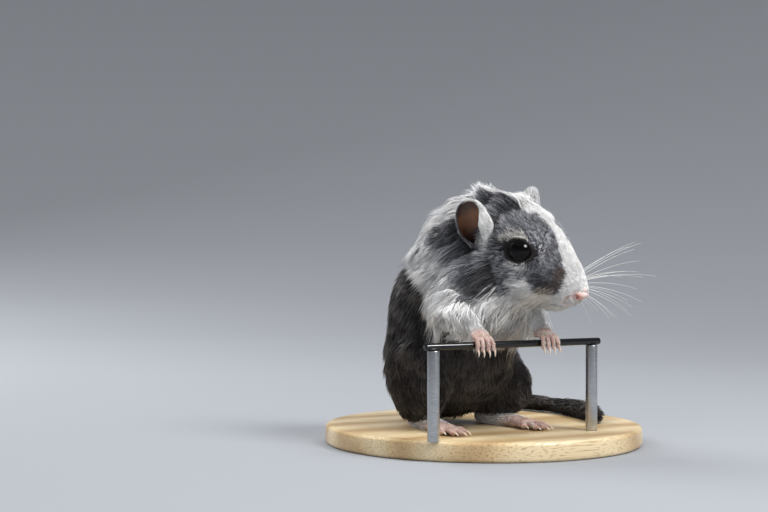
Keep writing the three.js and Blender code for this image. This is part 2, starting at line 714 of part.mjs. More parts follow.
node(gerbil, 'stand_base', standBase(), COLOURS.base, 0.5);
const ROD_RADIUS = 1.5;
const rodTop = WIRE_HEIGHT - WIRE_RADIUS - GAP;
const rodBottom = BASE_TOP + GAP;
for (const [name, side] of [['left', 1], ['right', -1]]) {
  const rod = new THREE.CylinderGeometry(ROD_RADIUS, ROD_RADIUS, rodTop - rodBottom, 16).rotateX(Math.PI / 2);
  const mesh = node(gerbil, `stand_rod_${name}`, rod, COLOURS.rod, 0.3, 1);
  mesh.position.set(side * ROD_SPACING, 0, (rodTop + rodBottom) / 2);
}
const wire = new THREE.CylinderGeometry(WIRE_RADIUS, WIRE_RADIUS, 2 * ROD_SPACING + 5, 16).rotateZ(Math.PI / 2);
node(gerbil, 'stand_wire', wire, COLOURS.wire, 0.35).position.set(0, 0, WIRE_HEIGHT);

export default gerbil;
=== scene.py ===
# %% [markdown]
# # A pied grey gerbil, dressed for the museum
#
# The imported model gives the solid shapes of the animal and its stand. This lesson builds what the eye meets
# first: one seamless skin, a coat of solid tufts that lies along the body, wet eyes, thin ears, bare hands
# and feet, and the ash, steel and enamel of the stand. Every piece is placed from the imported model.

# %% The frame and the tools
import math

import bpy
import numpy as np
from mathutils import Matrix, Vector
from mathutils.bvhtree import BVHTree
from mathutils.kdtree import KDTree


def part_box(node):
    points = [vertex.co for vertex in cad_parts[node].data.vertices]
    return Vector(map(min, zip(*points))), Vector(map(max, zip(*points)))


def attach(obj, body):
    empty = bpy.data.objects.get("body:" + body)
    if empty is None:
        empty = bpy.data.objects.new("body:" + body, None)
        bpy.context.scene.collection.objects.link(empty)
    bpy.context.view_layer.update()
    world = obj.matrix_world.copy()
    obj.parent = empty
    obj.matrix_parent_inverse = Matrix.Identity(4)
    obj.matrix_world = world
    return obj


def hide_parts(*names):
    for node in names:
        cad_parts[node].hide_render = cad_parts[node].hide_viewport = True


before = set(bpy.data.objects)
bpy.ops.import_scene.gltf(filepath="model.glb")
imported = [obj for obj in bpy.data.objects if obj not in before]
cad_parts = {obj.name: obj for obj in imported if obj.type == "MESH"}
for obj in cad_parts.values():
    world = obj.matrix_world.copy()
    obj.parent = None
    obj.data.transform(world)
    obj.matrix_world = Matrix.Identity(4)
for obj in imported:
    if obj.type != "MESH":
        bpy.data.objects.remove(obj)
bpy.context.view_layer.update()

MM = 0.001
print("nodes in the packed model:", len(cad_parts))

# %% [markdown]
# ## The camera
#
# A portrait of a small animal is taken with a long lens from eye height. The view is placed from the wire
# that the hands hold: its middle falls on a known spot of the picture, and the lens and the distance give
# the scale.

# %% The camera
PICTURE_WIDTH, PICTURE_HEIGHT = 768, 512
LENS_MM, SENSOR_MM = 70, 36
PIXELS_PER_MM = 4
WIRE_PIXEL = (515, 344)
VIEW_TURN = math.radians(30)


def middle_of(node):
    low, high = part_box(node)
    return np.array((low + high) / 2) / MM


def place_camera():
    focal = LENS_MM / SENSOR_MM * PICTURE_WIDTH
    distance = focal / PIXELS_PER_MM
    ahead = np.array([math.sin(VIEW_TURN), math.cos(VIEW_TURN), 0])
    right = np.array([math.cos(VIEW_TURN), -math.sin(VIEW_TURN), 0])
    aside = (WIRE_PIXEL[0] - PICTURE_WIDTH / 2) / PIXELS_PER_MM
    below = (WIRE_PIXEL[1] - PICTURE_HEIGHT / 2) / PIXELS_PER_MM
    eye = middle_of("stand_wire") - ahead * distance - right * aside + np.array([0, 0, below])
    data = bpy.data.cameras.new("portrait_lens")
    data.lens, data.sensor_width = LENS_MM, SENSOR_MM
    data.clip_start, data.clip_end = 0.01, 20
    camera = bpy.data.objects.new("portrait_camera", data)
    bpy.context.scene.collection.objects.link(camera)
    camera.location = Vector(eye * MM)
    camera.rotation_euler = (math.pi / 2, 0, -VIEW_TURN)
    bpy.context.scene.camera = camera
    return eye


CAMERA_PLACE = place_camera()
print("camera at", CAMERA_PLACE.round(1), "mm")

# %% [markdown]
# ## Small helpers
#
# Blender works in metres and in linear colour, while people think of a gerbil in millimetres. So all shapes
# here are arrays of millimetres, which become metres only as a mesh is made. Colours come later, with the
# first material.

# %% Meshes from arrays of millimetres
rng = np.random.default_rng(20)


def unit(v):
    return v / np.maximum(np.linalg.norm(v, axis=-1, keepdims=True), 1e-9)


def dot(a, b):
    return (a * b).sum(-1, keepdims=True)


def smoothstep(low, high, x):
    t = np.clip((x - low) / (high - low), 0, 1)
    return t * t * (3 - 2 * t)


def make_mesh(name, points, faces):
    mesh = bpy.data.meshes.new(name)
    mesh.vertices.add(len(points))
    mesh.vertices.foreach_set("co", np.asarray(points, np.float32).ravel() * MM)
    corners = faces.shape[1]
    mesh.loops.add(faces.size)
    mesh.loops.foreach_set("vertex_index", faces.astype(np.int32).ravel())
    mesh.polygons.add(len(faces))
    mesh.polygons.foreach_set("loop_start", np.arange(len(faces), dtype=np.int32) * corners)
    mesh.update(calc_edges=True)
    mesh.shade_smooth()
    return mesh


def make_piece(name, points, faces, material=None):
    mesh = make_mesh(name, points, faces)
    piece = bpy.data.objects.new(name, mesh)
    bpy.context.scene.collection.objects.link(piece)
    if material:
        mesh.materials.append(material)
    return piece


def store(mesh, name, values):
    """One number, or one vector, for each vertex, which a material can read by name."""
    kind, key = ("FLOAT", "value") if values.ndim == 1 else ("FLOAT_VECTOR", "vector")
    attribute = mesh.attributes.new(name, kind, "POINT")
    attribute.data.foreach_set(key, values.astype(np.float32).ravel())


# %% Reading a mesh back as arrays
def read_mesh(mesh):
    points = np.empty(len(mesh.vertices) * 3, np.float32)
    mesh.vertices.foreach_get("co", points)
    starts = np.empty(len(mesh.polygons), np.int32)
    totals = np.empty(len(mesh.polygons), np.int32)
    corners = np.empty(len(mesh.loops), np.int32)
    mesh.polygons.foreach_get("loop_start", starts)
    mesh.polygons.foreach_get("loop_total", totals)
    mesh.loops.foreach_get("vertex_index", corners)
    if (totals == 4).all():
        return points.reshape(-1, 3).astype(float), corners.reshape(-1, 4)
    fans = [np.stack([corners[starts[totals >= k + 3]],
                      corners[starts[totals >= k + 3] + k + 1],
                      corners[starts[totals >= k + 3] + k + 2]], 1) for k in range(totals.max() - 2)]
    return points.reshape(-1, 3).astype(float), np.concatenate(fans)


def triangles_of(faces):
    if faces.shape[1] == 3:
        return faces
    return np.concatenate([faces[:, [0, 1, 2]], faces[:, [0, 2, 3]]])


def normals_of(points, faces):
    tri = triangles_of(faces)
    a, b, c = points[tri[:, 0]], points[tri[:, 1]], points[tri[:, 2]]
    cross = np.cross(b - a, c - a)
    total = np.stack([np.bincount(tri.ravel(), np.repeat(cross[:, k], 3), len(points)) for k in range(3)], 1)
    return unit(total)


def edges_of(faces):
    pairs = np.concatenate([faces[:, [k, (k + 1) % faces.shape[1]]] for k in range(faces.shape[1])])
    return np.unique(np.sort(pairs, 1), axis=0)


def relax(values, edges, rounds, share=0.5):
    """Moves each vertex's value towards its neighbours' mean, by a share that may differ over the mesh."""
    one = values.ndim == 1
    values = values[:, None] if one else values
    a, b = edges.T
    count = np.bincount(edges.ravel(), minlength=len(values))[:, None]
    share = np.broadcast_to(np.asarray(share, float).reshape(-1, 1), (len(values), 1))
    for _ in range(rounds):
        total = np.stack([np.bincount(a, one_axis[b], len(values)) + np.bincount(b, one_axis[a], len(values))
                          for one_axis in values.T], 1)
        values = values + share * (total / np.maximum(count, 1) - values)
    return values[:, 0] if one else values


# %% [markdown]
# ## Places on the animal
#
# Two small frames of reference make every later place readable. The animal's own frame has its origin on
# the table below the middle of the wire, its left is +x, and it faces -y. The head's frame starts midway
# between the eyes, with x ahead to the nose, y to its left and z up. Both are worked out from the packed
# model.

# %% The animal's frame and the head's frame
ANIMAL = middle_of("stand_wire") * (1, 1, 0)
HEAD_YAW, HEAD_PITCH, HEAD_ROLL = math.radians(18), math.radians(14), math.radians(5)
EYE_IN_HEAD = np.array([-0.5, 5.9, -0.4])
MIRROR = np.array([1, -1, 1])
SIDES = {"left": 1, "right": -1}


def turned(v, axis, angle):
    axis = axis / np.linalg.norm(axis)
    kept = axis * axis.dot(v) * (1 - math.cos(angle))
    return v * math.cos(angle) + np.cross(axis, v) * math.sin(angle) + kept


def head_axes():
    ahead = np.array([math.sin(HEAD_YAW), -math.cos(HEAD_YAW), 0])
    left = np.array([math.cos(HEAD_YAW), math.sin(HEAD_YAW), 0])
    ahead = turned(ahead, left, HEAD_PITCH)
    left = turned(left, ahead, HEAD_ROLL)
    return np.array([ahead, left, np.cross(ahead, left)])


HEAD_AXES = head_axes()
between_eyes = (middle_of("eye_left") + middle_of("eye_right")) / 2
HEAD_PLACE = between_eyes - (EYE_IN_HEAD * (1, 0, 1)) @ HEAD_AXES


def on_head(q):
    return HEAD_PLACE + np.asarray(q, float) @ HEAD_AXES


def in_head(p):
    return (p - HEAD_PLACE) @ HEAD_AXES.T


def on_animal(q):
    return ANIMAL + np.asarray(q, float)


print("nose in the head's frame:", in_head(middle_of("nose")).round(1))

# %% [markdown]
# ## Two ways to make a soft form
#
# A limb, toe or tail is a section carried along a smooth path, with round ends. A trunk is a few masses
# that flow into one another, as a sculptor builds up clay: each is an ellipsoid, and the skin lies where
# their joined distance is nought. Both give closed shapes that can be melted together.

# %% A tube along a smooth path
THINNEST = 0.02


def smooth_rows(rows, steps):
    """Catmull-Rom through rows of numbers, with 'steps' new rows between each two."""
    rows = np.asarray(rows, float)
    padded = np.concatenate([2 * rows[:1] - rows[1:2], rows, 2 * rows[-1:] - rows[-2:-1]])
    out = []
    for i in range(len(rows) - 1):
        p0, p1, p2, p3 = padded[i:i + 4]
        for t in np.linspace(0, 1, steps, endpoint=False):
            out.append(0.5 * (2 * p1 + (p2 - p0) * t + (2 * p0 - 5 * p1 + 4 * p2 - p3) * t * t
                              + (3 * p1 - p0 - 3 * p2 + p3) * t ** 3))
    return np.array(out + [rows[-1]])


def tube(rows, hint=(1, 0, 0), sides=20, steps=6, dome=4):
    """A closed tube through rows of x, y, z, half width and half thickness; 'hint' is its width's way."""
    rows = smooth_rows(rows, steps)
    centres, halves = rows[:, :3], np.maximum(rows[:, 3:5], THINNEST)
    ways = unit(np.gradient(centres, axis=0))
    caps = {0: [], -1: []}
    for end, outwards in ((0, -1), (-1, 1)):
        for turn in np.arange(dome) / dome * math.pi / 2:
            place = centres[end] + ways[end] * (math.cos(turn) * halves[end].min() * outwards)
            caps[end].append((place, halves[end] * max(math.sin(turn), THINNEST), ways[end]))
    rings = []
    angles = np.linspace(0, 2 * math.pi, sides, endpoint=False)
    for centre, half, way in caps[0] + list(zip(centres, halves, ways)) + caps[-1][::-1]:
        across = unit(np.asarray(hint, float) - dot(np.asarray(hint, float), way) * way)
        over = np.cross(way, across)
        rings.append(centre + np.outer(np.cos(angles) * half[0], across)
                     + np.outer(np.sin(angles) * half[1], over))
    return closed_stack(rings)


def closed_stack(rings):
    """Joins rings of equal count into a closed skin of triangles, with a fan over each end."""
    sides, count = len(rings[0]), len(rings)
    points = np.concatenate(rings + [rings[0].mean(0)[None], rings[-1].mean(0)[None]])
    j = np.arange(sides)
    nxt = (j + 1) % sides
    faces = []
    for i in range(count - 1):
        a, b = i * sides, (i + 1) * sides
        faces += [np.stack([a + j, a + nxt, b + j], 1), np.stack([a + nxt, b + nxt, b + j], 1)]
    first, last = count * sides, count * sides + 1
    faces += [np.stack([np.full(sides, first), nxt, j], 1),
              np.stack([np.full(sides, last), (count - 1) * sides + j, (count - 1) * sides + nxt], 1)]
    faces = np.concatenate(faces)
    a, b, c = (points[faces[:, k]] - points[0] for k in range(3))
    inside_out = (a * np.cross(b, c)).sum() < 0
    return points, faces[:, ::-1] if inside_out else faces


# %% Masses that flow together
HALVINGS = 24


def above_masses(points, masses, softness):
    """How far each point stands above the joined surface of masses, given as middles and half sizes."""
    total = 0
    for row in masses:
        q = (points - row[:3]) / row[3:]
        scaled = np.linalg.norm(q, axis=1)
        slope = np.linalg.norm(q / row[3:], axis=1)
        total = total + np.exp(-scaled * (scaled - 1) / np.maximum(slope, 1e-6) / softness)
    return -softness * np.log(np.maximum(total, 1e-30))


def masses_skin(middle, masses, softness, sides=160, rings=100, reach=60):
    """The closed surface of joined masses, found by halving along rays from a point inside."""
    polar = np.linspace(0, math.pi, rings + 2)[1:-1]
    angles = np.linspace(0, 2 * math.pi, sides, endpoint=False)
    ways = np.stack([np.outer(np.sin(polar), np.cos(angles)), np.outer(np.sin(polar), np.sin(angles)),
                     np.outer(np.cos(polar), np.ones(sides))], 2)
    ways = np.concatenate([ways.reshape(-1, 3), [[0, 0, 1]], [[0, 0, -1]]])
    near, far = np.zeros(len(ways)), np.full(len(ways), float(reach))
    for _ in range(HALVINGS):
        half = (near + far) / 2
        outside = above_masses(middle + ways * half[:, None], masses, softness) > 0
        far, near = np.where(outside, half, far), np.where(outside, near, half)
    points = middle + ways * near[:, None]
    shape, faces = closed_stack(list(points[:-2].reshape(rings, sides, 3)[::-1]))
    shape[-2], shape[-1] = points[-1], points[-2]
    return shape, faces


# %% [markdown]
# ## The skin
#
# A live animal's skin has no seams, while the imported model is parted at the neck, shoulders, hips and along
# the tail. Copies of its head, arms and thighs, swelled by a hair's breadth so that they touch, are melted
# by a voxel remesh with the trunk and the tail. Those two are made again without the locks that the solids
# carry, because here finer tufts take their place. The surface is then smoothed and drawn in by the depth
# of the coat, so that the tips of the fur end where the solid ended.

# %% The nodes of flesh, as one surface
SKIN_VOXEL = 0.42
SEAM = 0.25
# The trunk and neck: middles and half sizes in the animal's frame
TRUNK_MASSES = np.array([
    (1, 9.5, 40, 9.8, 8.8, 9.5), (0.5, 18, 40, 12.5, 12, 12.8), (0, 31, 36.5, 16.2, 16.2, 16),
    (0, 32.5, 24, 16.8, 16.8, 15.8), (0, 35, 15, 14, 12.5, 8.8), (0, 20, 24, 11.8, 10.5, 12),
    (2.2, 18.6, 50.5, 12.8, 12.2, 12.8), (4, 8.5, 44, 10.2, 8.8, 9.2),
]) + np.append(ANIMAL, (0, 0, 0))
TRUNK_SOFTNESS = 1.6
TRUNK_MIDDLE = on_animal((0.5, 25, 33))
TAIL_PATH = [(0, 41, 10), (1.5, 50, 8.4), (8, 58.5, 8), (19, 62.5, 7.9), (31, 59, 7.7), (38.5, 49, 7.5),
             (41, 36, 7.4), (39.5, 23, 7.2), (35, 12, 7.1)]
TAIL_HALF = [3.9, 3.3, 2.9, 2.7, 2.55, 2.4, 2.25, 2.2, 1.4]


def welded(points, faces):
    keys, index = np.unique(points.round(4), axis=0, return_inverse=True)
    faces = index.reshape(-1)[faces]
    keep = (faces[:, 0] != faces[:, 1]) & (faces[:, 1] != faces[:, 2]) & (faces[:, 2] != faces[:, 0])
    return keys, faces[keep]


def node_arrays(node):
    points, faces = read_mesh(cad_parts[node].data)
    return welded(points / MM, faces)


def join_arrays(parts):
    points, faces, base = [], [], 0
    for p, f in parts:
        points.append(p)
        faces.append(triangles_of(f) + base)
        base += len(p)
    return np.concatenate(points), np.concatenate(faces)


def fuse(parts, voxel):
    """Melts overlapping closed shapes into one surface of even quads."""
    points, faces = join_arrays(parts)
    mesh = make_mesh("melt", points / MM, faces)
    body = bpy.data.objects.new("melt", mesh)
    bpy.context.scene.collection.objects.link(body)
    remesh = body.modifiers.new("melt", "REMESH")
    remesh.mode, remesh.voxel_size, remesh.adaptivity = "VOXEL", voxel, 0
    done = body.evaluated_get(bpy.context.evaluated_depsgraph_get())
    result = read_mesh(done.to_mesh())
    done.to_mesh_clear()
    bpy.data.objects.remove(body)
    bpy.data.meshes.remove(mesh)
    return result


def swelled(node):
    points, faces = node_arrays(node)
    return points + SEAM * normals_of(points, faces), faces


tail_rows = [(*on_animal(place), half, half) for place, half in zip(TAIL_PATH, TAIL_HALF)]
flesh = {
    "head": join_arrays([swelled(node) for node in ("head", "eye_left", "eye_right", "nose")]),
    "trunk": masses_skin(TRUNK_MIDDLE, TRUNK_MASSES, TRUNK_SOFTNESS),
    "arm_left": swelled("arm_left"), "arm_right": swelled("arm_right"),
    "thigh_left": swelled("thigh_left"), "thigh_right": swelled("thigh_right"),
    "tail": tube(tail_rows, hint=(0, 0, 1)),
}
skin, skin_faces = fuse(list(flesh.values()), SKIN_VOXEL)
print("melted skin:", len(skin), "vertices,", len(skin_faces), "faces")

# %% Which part each bit of skin belongs to, as soft shares
# The collar is the trunk's part above a slanting plane behind the shoulders' top
COLLAR_EDGE, COLLAR_WAY = on_animal((1.5, 20, 44)), unit(np.array([0.12, -0.62, 0.78]))


def part_shares():
    points, faces = join_arrays(list(flesh.values()))
    face_part = np.repeat(np.arange(len(flesh)), [len(triangles_of(f)) for _, f in flesh.values()])
    tree = BVHTree.FromPolygons(points.tolist(), faces.tolist())
    part = face_part[[tree.find_nearest(p)[2] for p in skin.tolist()]]
    shares = {name: (part == k).astype(float) for k, name in enumerate(flesh)}
    above = smoothstep(-1.5, 1.5, (skin - COLLAR_EDGE) @ COLLAR_WAY)
    trunk = shares.pop("trunk")
    shares["neck"], shares["torso"] = trunk * above, trunk * (1 - above)
    return {name: relax(values, edges, 16) for name, values in shares.items()}


edges = edges_of(skin_faces)
share = part_shares()
print({part: round(float(values.mean()), 3) for part, values in share.items()})

# %% Draw the skin in by the depth of the coat
COAT_DEPTH = {"head": 1.5, "neck": 2.6, "torso": 2.6, "arm": 0.9, "thigh": 2.0, "tail": 0.8}
MUZZLE_DEPTH, LID_DEPTH = 0.45, 0.3
CROWN_RISE = 2.6
CROWN = [((-11, 0, 8.5), (9, 9, 6.5), 1), ((-18.5, -1, 6.6), (7.5, 9, 6), 1),
         ((-30.5, -8, -3.6), (9, 9, 8), 1)]
# The brow's two swells and a dip in the nape, each with how far the skin rises there
SWELLS = [((3.5, 1.5, 6), (12.4, 6, 6.5), 2.4), ((-0.6, 1.5, 8.3), (5.4, 5, 5), 0.9),
          ((-27.5, -4, 4.5), (5, 6, 4.5), -1.5)]


def soft_mark(q, middle, half):
    return 1 - smoothstep(0.4, 1.15, np.linalg.norm((q - middle) / half, axis=1))


def crown_share(points):
    """The fluff of the crown and nape, as joined soft marks in the head's frame."""
    q = in_head(points)
    return np.max([strength * soft_mark(q, middle, half) for middle, half, strength in CROWN], axis=0)


def part_value(values):
    total = sum(s * values[part.split("_")[0]] for part, s in share.items())
    return total / sum(share.values())


def coat_depth(points):
    """How thick the coat lies: least round the nose, mouth and eyes."""
    depth = part_value(COAT_DEPTH)
    q = in_head(points)
    depth = depth - CROWN_RISE * crown_share(points)
    muzzle = smoothstep(-4, 15, q[:, 0]) * share["head"]
    depth = depth + muzzle * (MUZZLE_DEPTH - depth)
    for side in SIDES.values():
        from_eye = np.linalg.norm(q - EYE_IN_HEAD * (1, side, 1), axis=1)
        depth = depth + (1 - smoothstep(3.6, 7, from_eye)) * (LID_DEPTH - depth)
    return depth - sum(rise * soft_mark(q, middle, half) for middle, half, rise in SWELLS)


arm_crease = np.clip(8 * (share["arm_left"] + share["arm_right"]) * (share["neck"] + share["torso"]), 0, 1)
skin = relax(skin, edges, 5, 0.5)
skin = relax(skin, edges, 40, 0.5 * arm_crease)
skin_depth = coat_depth(skin)
skin = skin - skin_depth[:, None] * relax(normals_of(skin, skin_faces), edges, 6)
skin = relax(skin, edges, 6, 0.5 * (1 - 0.8 * smoothstep(0.5, 0.9, share["head"])))
print("skin box", skin.min(0).round(1), skin.max(0).round(1))

# %% Open the skin round the eyes
# Directions off an eye's look are counted in lid openings: 1 is the lid's edge, whose corners are drawn out
EYE_RADIUS, EYE_RANGE = 3.4, 9
EYE_LOOK = unit(np.array([0.36, 0.9, 0.2]))
LID_WIDE, LID_TALL = math.radians(72), math.radians(50)
LID_FADE = (1.15, 1.9)


def eye_middle(side):
    return on_head(EYE_IN_HEAD * (1, side, 1))


def eye_axes(side):
    """Towards the nose, up, and out of the head, for the eye on one side."""
    out = (EYE_LOOK * (1, side, 1)) @ HEAD_AXES
    ahead = unit(HEAD_AXES[0] - HEAD_AXES[0].dot(out) * out)
    up = HEAD_AXES[2] - HEAD_AXES[2].dot(out) * out - HEAD_AXES[2].dot(ahead) * ahead
    return ahead, unit(up), out


def lid_angle(around):
    return LID_TALL + (LID_WIDE - LID_TALL) * np.abs(np.cos(around)) ** 3


def off_look(points, side):
    """Each point's distance from an eye's middle, its lid openings off the look, and its direction."""
    ahead, up, out = eye_axes(side)
    d = points - eye_middle(side)
    far = np.linalg.norm(d, axis=1)
    way = d / np.maximum(far, 1e-6)[:, None]
    openings = np.arccos(np.clip(way @ out, -1, 1)) / lid_angle(np.arctan2(way @ up, way @ ahead))
    return far, openings, way


def open_eye(points, side):
    """Sinks the skin behind the eyeball and raises a soft lid round the opening."""
    far, openings, way = off_look(points, side)
    sunk = EYE_RADIUS * 0.8
    lid = EYE_RADIUS + 0.25 + 0.3 * np.exp(-((openings - 1.14) / 0.13) ** 2)
    shaped = sunk + (lid - sunk) * smoothstep(0.88, 1.0, openings)
    shaped = shaped + (far - shaped) * smoothstep(*LID_FADE, openings)
    near = ((far < EYE_RANGE) & (openings < 2))[:, None]
    return np.where(near, eye_middle(side) + way * shaped[:, None], points)


for side in SIDES.values():
    skin = open_eye(skin, side)


def eye_gaps(points):
    """Lid openings off the nearer eye, and how much each point is bare dark skin in one of its corners."""
    openings, corner = np.full(len(points), 9.0), np.zeros(len(points))
    for side in SIDES.values():
        far, off, way = off_look(points, side)
        ahead, up, out = eye_axes(side)
        around = np.arctan2(way @ up, way @ ahead)
        reach = np.where(np.cos(around) < 0, 1.75, 1.45)
        bare = np.abs(np.cos(around)) ** 10 * (1 - smoothstep(1.1, reach, off))
        openings = np.where(far < EYE_RANGE, np.minimum(openings, off), openings)
        corner = np.maximum(corner, (far < EYE_RANGE) * bare)
    return openings, corner


off_eye, eye_corner = eye_gaps(skin)
print("skin behind the eyeballs:", int((off_eye < 0.9).sum()), "vertices")

# %% Hollow the skin below the ears
# For each ear, in the head's frame: the root, the way that it rises and the way that it opens
EARS = {"left": [(-11.6, 7.6, 2.8), (-0.12, 0.42, 0.9), (0.5, 0.84, -0.2)],
        "right": [(-12, -8, 0.2), (-0.34, -0.34, 0.88), (0.55, -0.83, -0.05)]}
CANAL_HALF, CANAL_DEPTH = 2.3, 3.0


def ear_axes(name):
    """The ear's root in the head's frame, and the ways to its front edge, to its tip and out of its cup."""
    root, rise, opening = (np.array(v, float) for v in EARS[name])
    rise = unit(rise)
    opening = unit(opening - opening.dot(rise) * rise)
    front = np.cross(rise, opening)
    return root, front if front[0] > 0 else -front, rise, opening


def off_canal(points, name):
    """How far points lie off the ear's canal, in half widths of it."""
    root, front, rise, opening = ear_axes(name)
    q = in_head(points) - root
    return np.hypot(q @ front, q @ opening) / CANAL_HALF + 9 * (np.abs(q @ rise) > 5)


canal_gap = np.min([off_canal(skin, name) for name in EARS], axis=0)
skin = skin - (CANAL_DEPTH * (1 - smoothstep(0.2, 0.8, canal_gap)))[:, None] * normals_of(skin, skin_faces)

# %% The mouth's line, pressed into the skin
MOUTH_LINE = [(14.4, 0, -9.9), (13.9, 1.6, -10.5), (12.6, 3.2, -11.2), (10.8, 4, -11.6)]
LIP_CREASE = [(14.7, 3.4, -8.5), (14.1, 3.9, -9.3), (13.7, 3.7, -10.2), (12.9, 3.3, -11)]
CREASE_DEPTH, CREASE_HALF = 0.5, 0.5
NOSE_AT, NOSE_HALF = np.array([14.95, 0, -8.0]), np.array([1.9, 2.8, 1.4])


def line_gap(points, *lines):
    """Distance of each point from lines of corners in the head's frame, on either side of the face."""
    fine = np.concatenate([np.linspace(a, b, 8) for line in lines for a, b in zip(line[:-1], line[1:])])
    fine = np.concatenate([fine, fine * MIRROR])
    tree = KDTree(len(fine))
    for k, place in enumerate(fine):
        tree.insert(place, k)
    tree.balance()
    return np.array([tree.find(q)[2] for q in in_head(points).tolist()])


off_nose = np.linalg.norm((in_head(skin) - NOSE_AT) / NOSE_HALF, axis=1)
mouth_gap = line_gap(skin, MOUTH_LINE, LIP_CREASE)
crease = CREASE_DEPTH * np.exp(-(mouth_gap / CREASE_HALF) ** 2)
skin = skin - crease[:, None] * normals_of(skin, skin_faces)
skin_normals = unit(relax(normals_of(skin, skin_faces), edges, 3))
print("skin in the mouth's creases:", int((mouth_gap < CREASE_HALF).sum()), "vertices")

# %% [markdown]
# ## Markings
#
# This gerbil is pied: slate grey with a white blaze, muzzle, collar and bib, and a dark body. The body's
# dark is partly its own and partly painted shade, and a slate mark under the chin is painted shade on the
# white throat. Each mark is a soft ellipsoid in the head's frame, given by its middle, its half sizes and
# its strength; only the bib is placed in the animal's frame. Skin and hair are coloured by the same marks,
# each hair by the place where most of it is seen, so that long hair carries no patch off its place.

# %% Slate, dark, warm and pale marks
MARK_ORDER = ("slate", "dark", "warm", "cream", "body")
SLATE = [
    ((-6, 5.5, 6), (11, 6, 6.5), 1), ((6, 4.6, 1.5), (8, 3.9, 5.2), 1), ((0, 8, -1.5), (9.5, 4.6, 7), 1),
    ((-6, 13.5, -8), (9, 7.5, 5.8), 1), ((8, 6.3, -6), (5.6, 3.4, 3.9), 1),
    ((-19, 12.5, -0.5), (6.5, 5, 5.2), 0.95), ((-19, 14.5, -8), (7, 5, 4.6), 0.45),
    ((-12, 5, 9.5), (7.5, 5, 5.5), 0.95), ((11.4, 4.6, -4.8), (3.4, 2.8, 3.4), 1),
    ((-23, 12, -0.8), (5, 5, 4.4), 0.9), ((-14, 14, -4.6), (6.5, 5, 3.4), 0.9),
    # The mark at (-1, 8, -19), below the chin, is painted shade on the white throat
    ((-1, 8, -19), (6, 7, 4.4), 0.45), ((4, 3, 5), (7, 2.6, 4), 1),
]
PALE = [
    ((2.4, 9.5, -7.6), (3.8, 3, 4), 0.42), ((1, 8.6, -3.6), (4, 2, 1.1), 0.55),
    ((15, 0, -7), (2.7, 8, 5.2), 1), ((4, 0, -14), (13, 12, 3.4), 1), ((12, 0, -11), (6, 7, 2.6), 1),
]
DARK = [
    ((-5.6, 14, -9.2), (6, 6, 4), 0.75), ((6.4, 7.2, -6.2), (3, 2.4, 1.8), 0.75),
    ((9.2, 5.8, -8), (3.2, 2.4, 2), 0.95), ((-8.6, 7.6, 5), (1.7, 2.8, 4), 0.95),
    ((-6.4, 9.4, 1.6), (1.2, 2, 2.6), 0.6), ((7, 3.4, 0.6), (4, 1.4, 2.6), 0.45),
    ((-10.5, 4, 9.5), (4.6, 4, 3), 0.7), ((-21.5, 12.5, -0.4), (6, 5, 4), 0.85),
]
WARM = [((12.2, 4.2, -4), (2.6, 2.6, 3.2), 0.8), ((10.4, 5, -7), (2.2, 2, 1.8), 0.6)]
CREAM = [((-2, 7.4, 4.1), (4, 2.2, 1.4), 0.6), ((-0.6, 8, 2.9), (4.2, 2.2, 1.1), 0.8),
         ((-4.4, 8.4, 2.2), (2, 2, 1.2), 0.6)]
# The blaze's middle and half width at places from the nape to the nose
BLAZE_AT = [-16, -12, -5, 0, 4, 8, 11, 14]
BLAZE_MIDDLE = [2.4, 1, 0.5, 0.1, -0.55, -0.5, 0, 0]
BLAZE_HALF = [1.4, 3.4, 3.2, 1.7, 1.15, 1.4, 3, 4.6]


def blobs(q, marks):
    """The joined strength of mirrored soft marks at points in the head's frame."""
    clear = np.ones(len(q))
    for middle, half, strength in marks:
        for side in SIDES.values():
            far = np.linalg.norm((q - np.multiply(middle, (1, side, 1))) / half, axis=1)
            clear = clear * (1 - strength * (1 - smoothstep(0.72, 1.2, far)))
    return 1 - clear


WAVES = unit(rng.normal(size=(3, 9, 3)))
PHASES = rng.uniform(0, 2 * math.pi, (3, 9))


def ripple(points, size, kind):
    """A soft random field between about -1 and 1 whose waves are 'size' mm long."""
    return np.sin(points @ WAVES[kind].T * (2 * math.pi / size) + PHASES[kind]).sum(1) / 4.5


def markings(points, body):
    """Slate, dark, warm and cream shares at each point; 'body' is the share of the dark trunk there."""
    q = in_head(points) + 0.35 * np.stack([ripple(points, 3.1, k) for k in range(3)], 1)
    blaze_edge = np.interp(q[:, 0], BLAZE_AT, BLAZE_HALF)
    off_blaze = np.abs(q[:, 1] - np.interp(q[:, 0], BLAZE_AT, BLAZE_MIDDLE))
    blaze = 1 - smoothstep(blaze_edge - 0.5, blaze_edge + 0.5, off_blaze)
    blaze = blaze * smoothstep(-17, -14, q[:, 0])
    slate = blobs(q, SLATE) * (1 - blobs(q, PALE)) * (1 - blaze)
    return {"slate": slate, "dark": blobs(q, DARK) * slate, "warm": blobs(q, WARM) * slate,
            "cream": blobs(q, CREAM) * slate, "body": body}


# %% The trunk's dark coat, partly painted shade, ends in a white bib and collar
BIB_MIDDLE, BIB_HALF = (0.5, 2, 36), (9.5, 9, 8.5)


def trunk_share(points, shares):
    trunk = shares["torso"] + shares["thigh_left"] + shares["thigh_right"] + shares["tail"]
    bib = np.linalg.norm((points - on_animal(BIB_MIDDLE)) / BIB_HALF, axis=1)
    return np.clip(trunk, 0, 1) * smoothstep(0.8, 1.25, bib)


skin_marks = markings(skin, trunk_share(skin, share))
print({kind: round(float(values.mean()), 3) for kind, values in skin_marks.items()})

# %% [markdown]
# ## The lie of the coat
#
# Hair starts at the nose and runs back over the head, down the neck and body, and along each limb to its
# toes. A groomer would comb it with guide hairs. Here each part has a rule for its direction, the rules are
# mixed by the skin's soft shares, and the result is laid flat on the skin and smoothed, so the coat turns
# gently between parts.

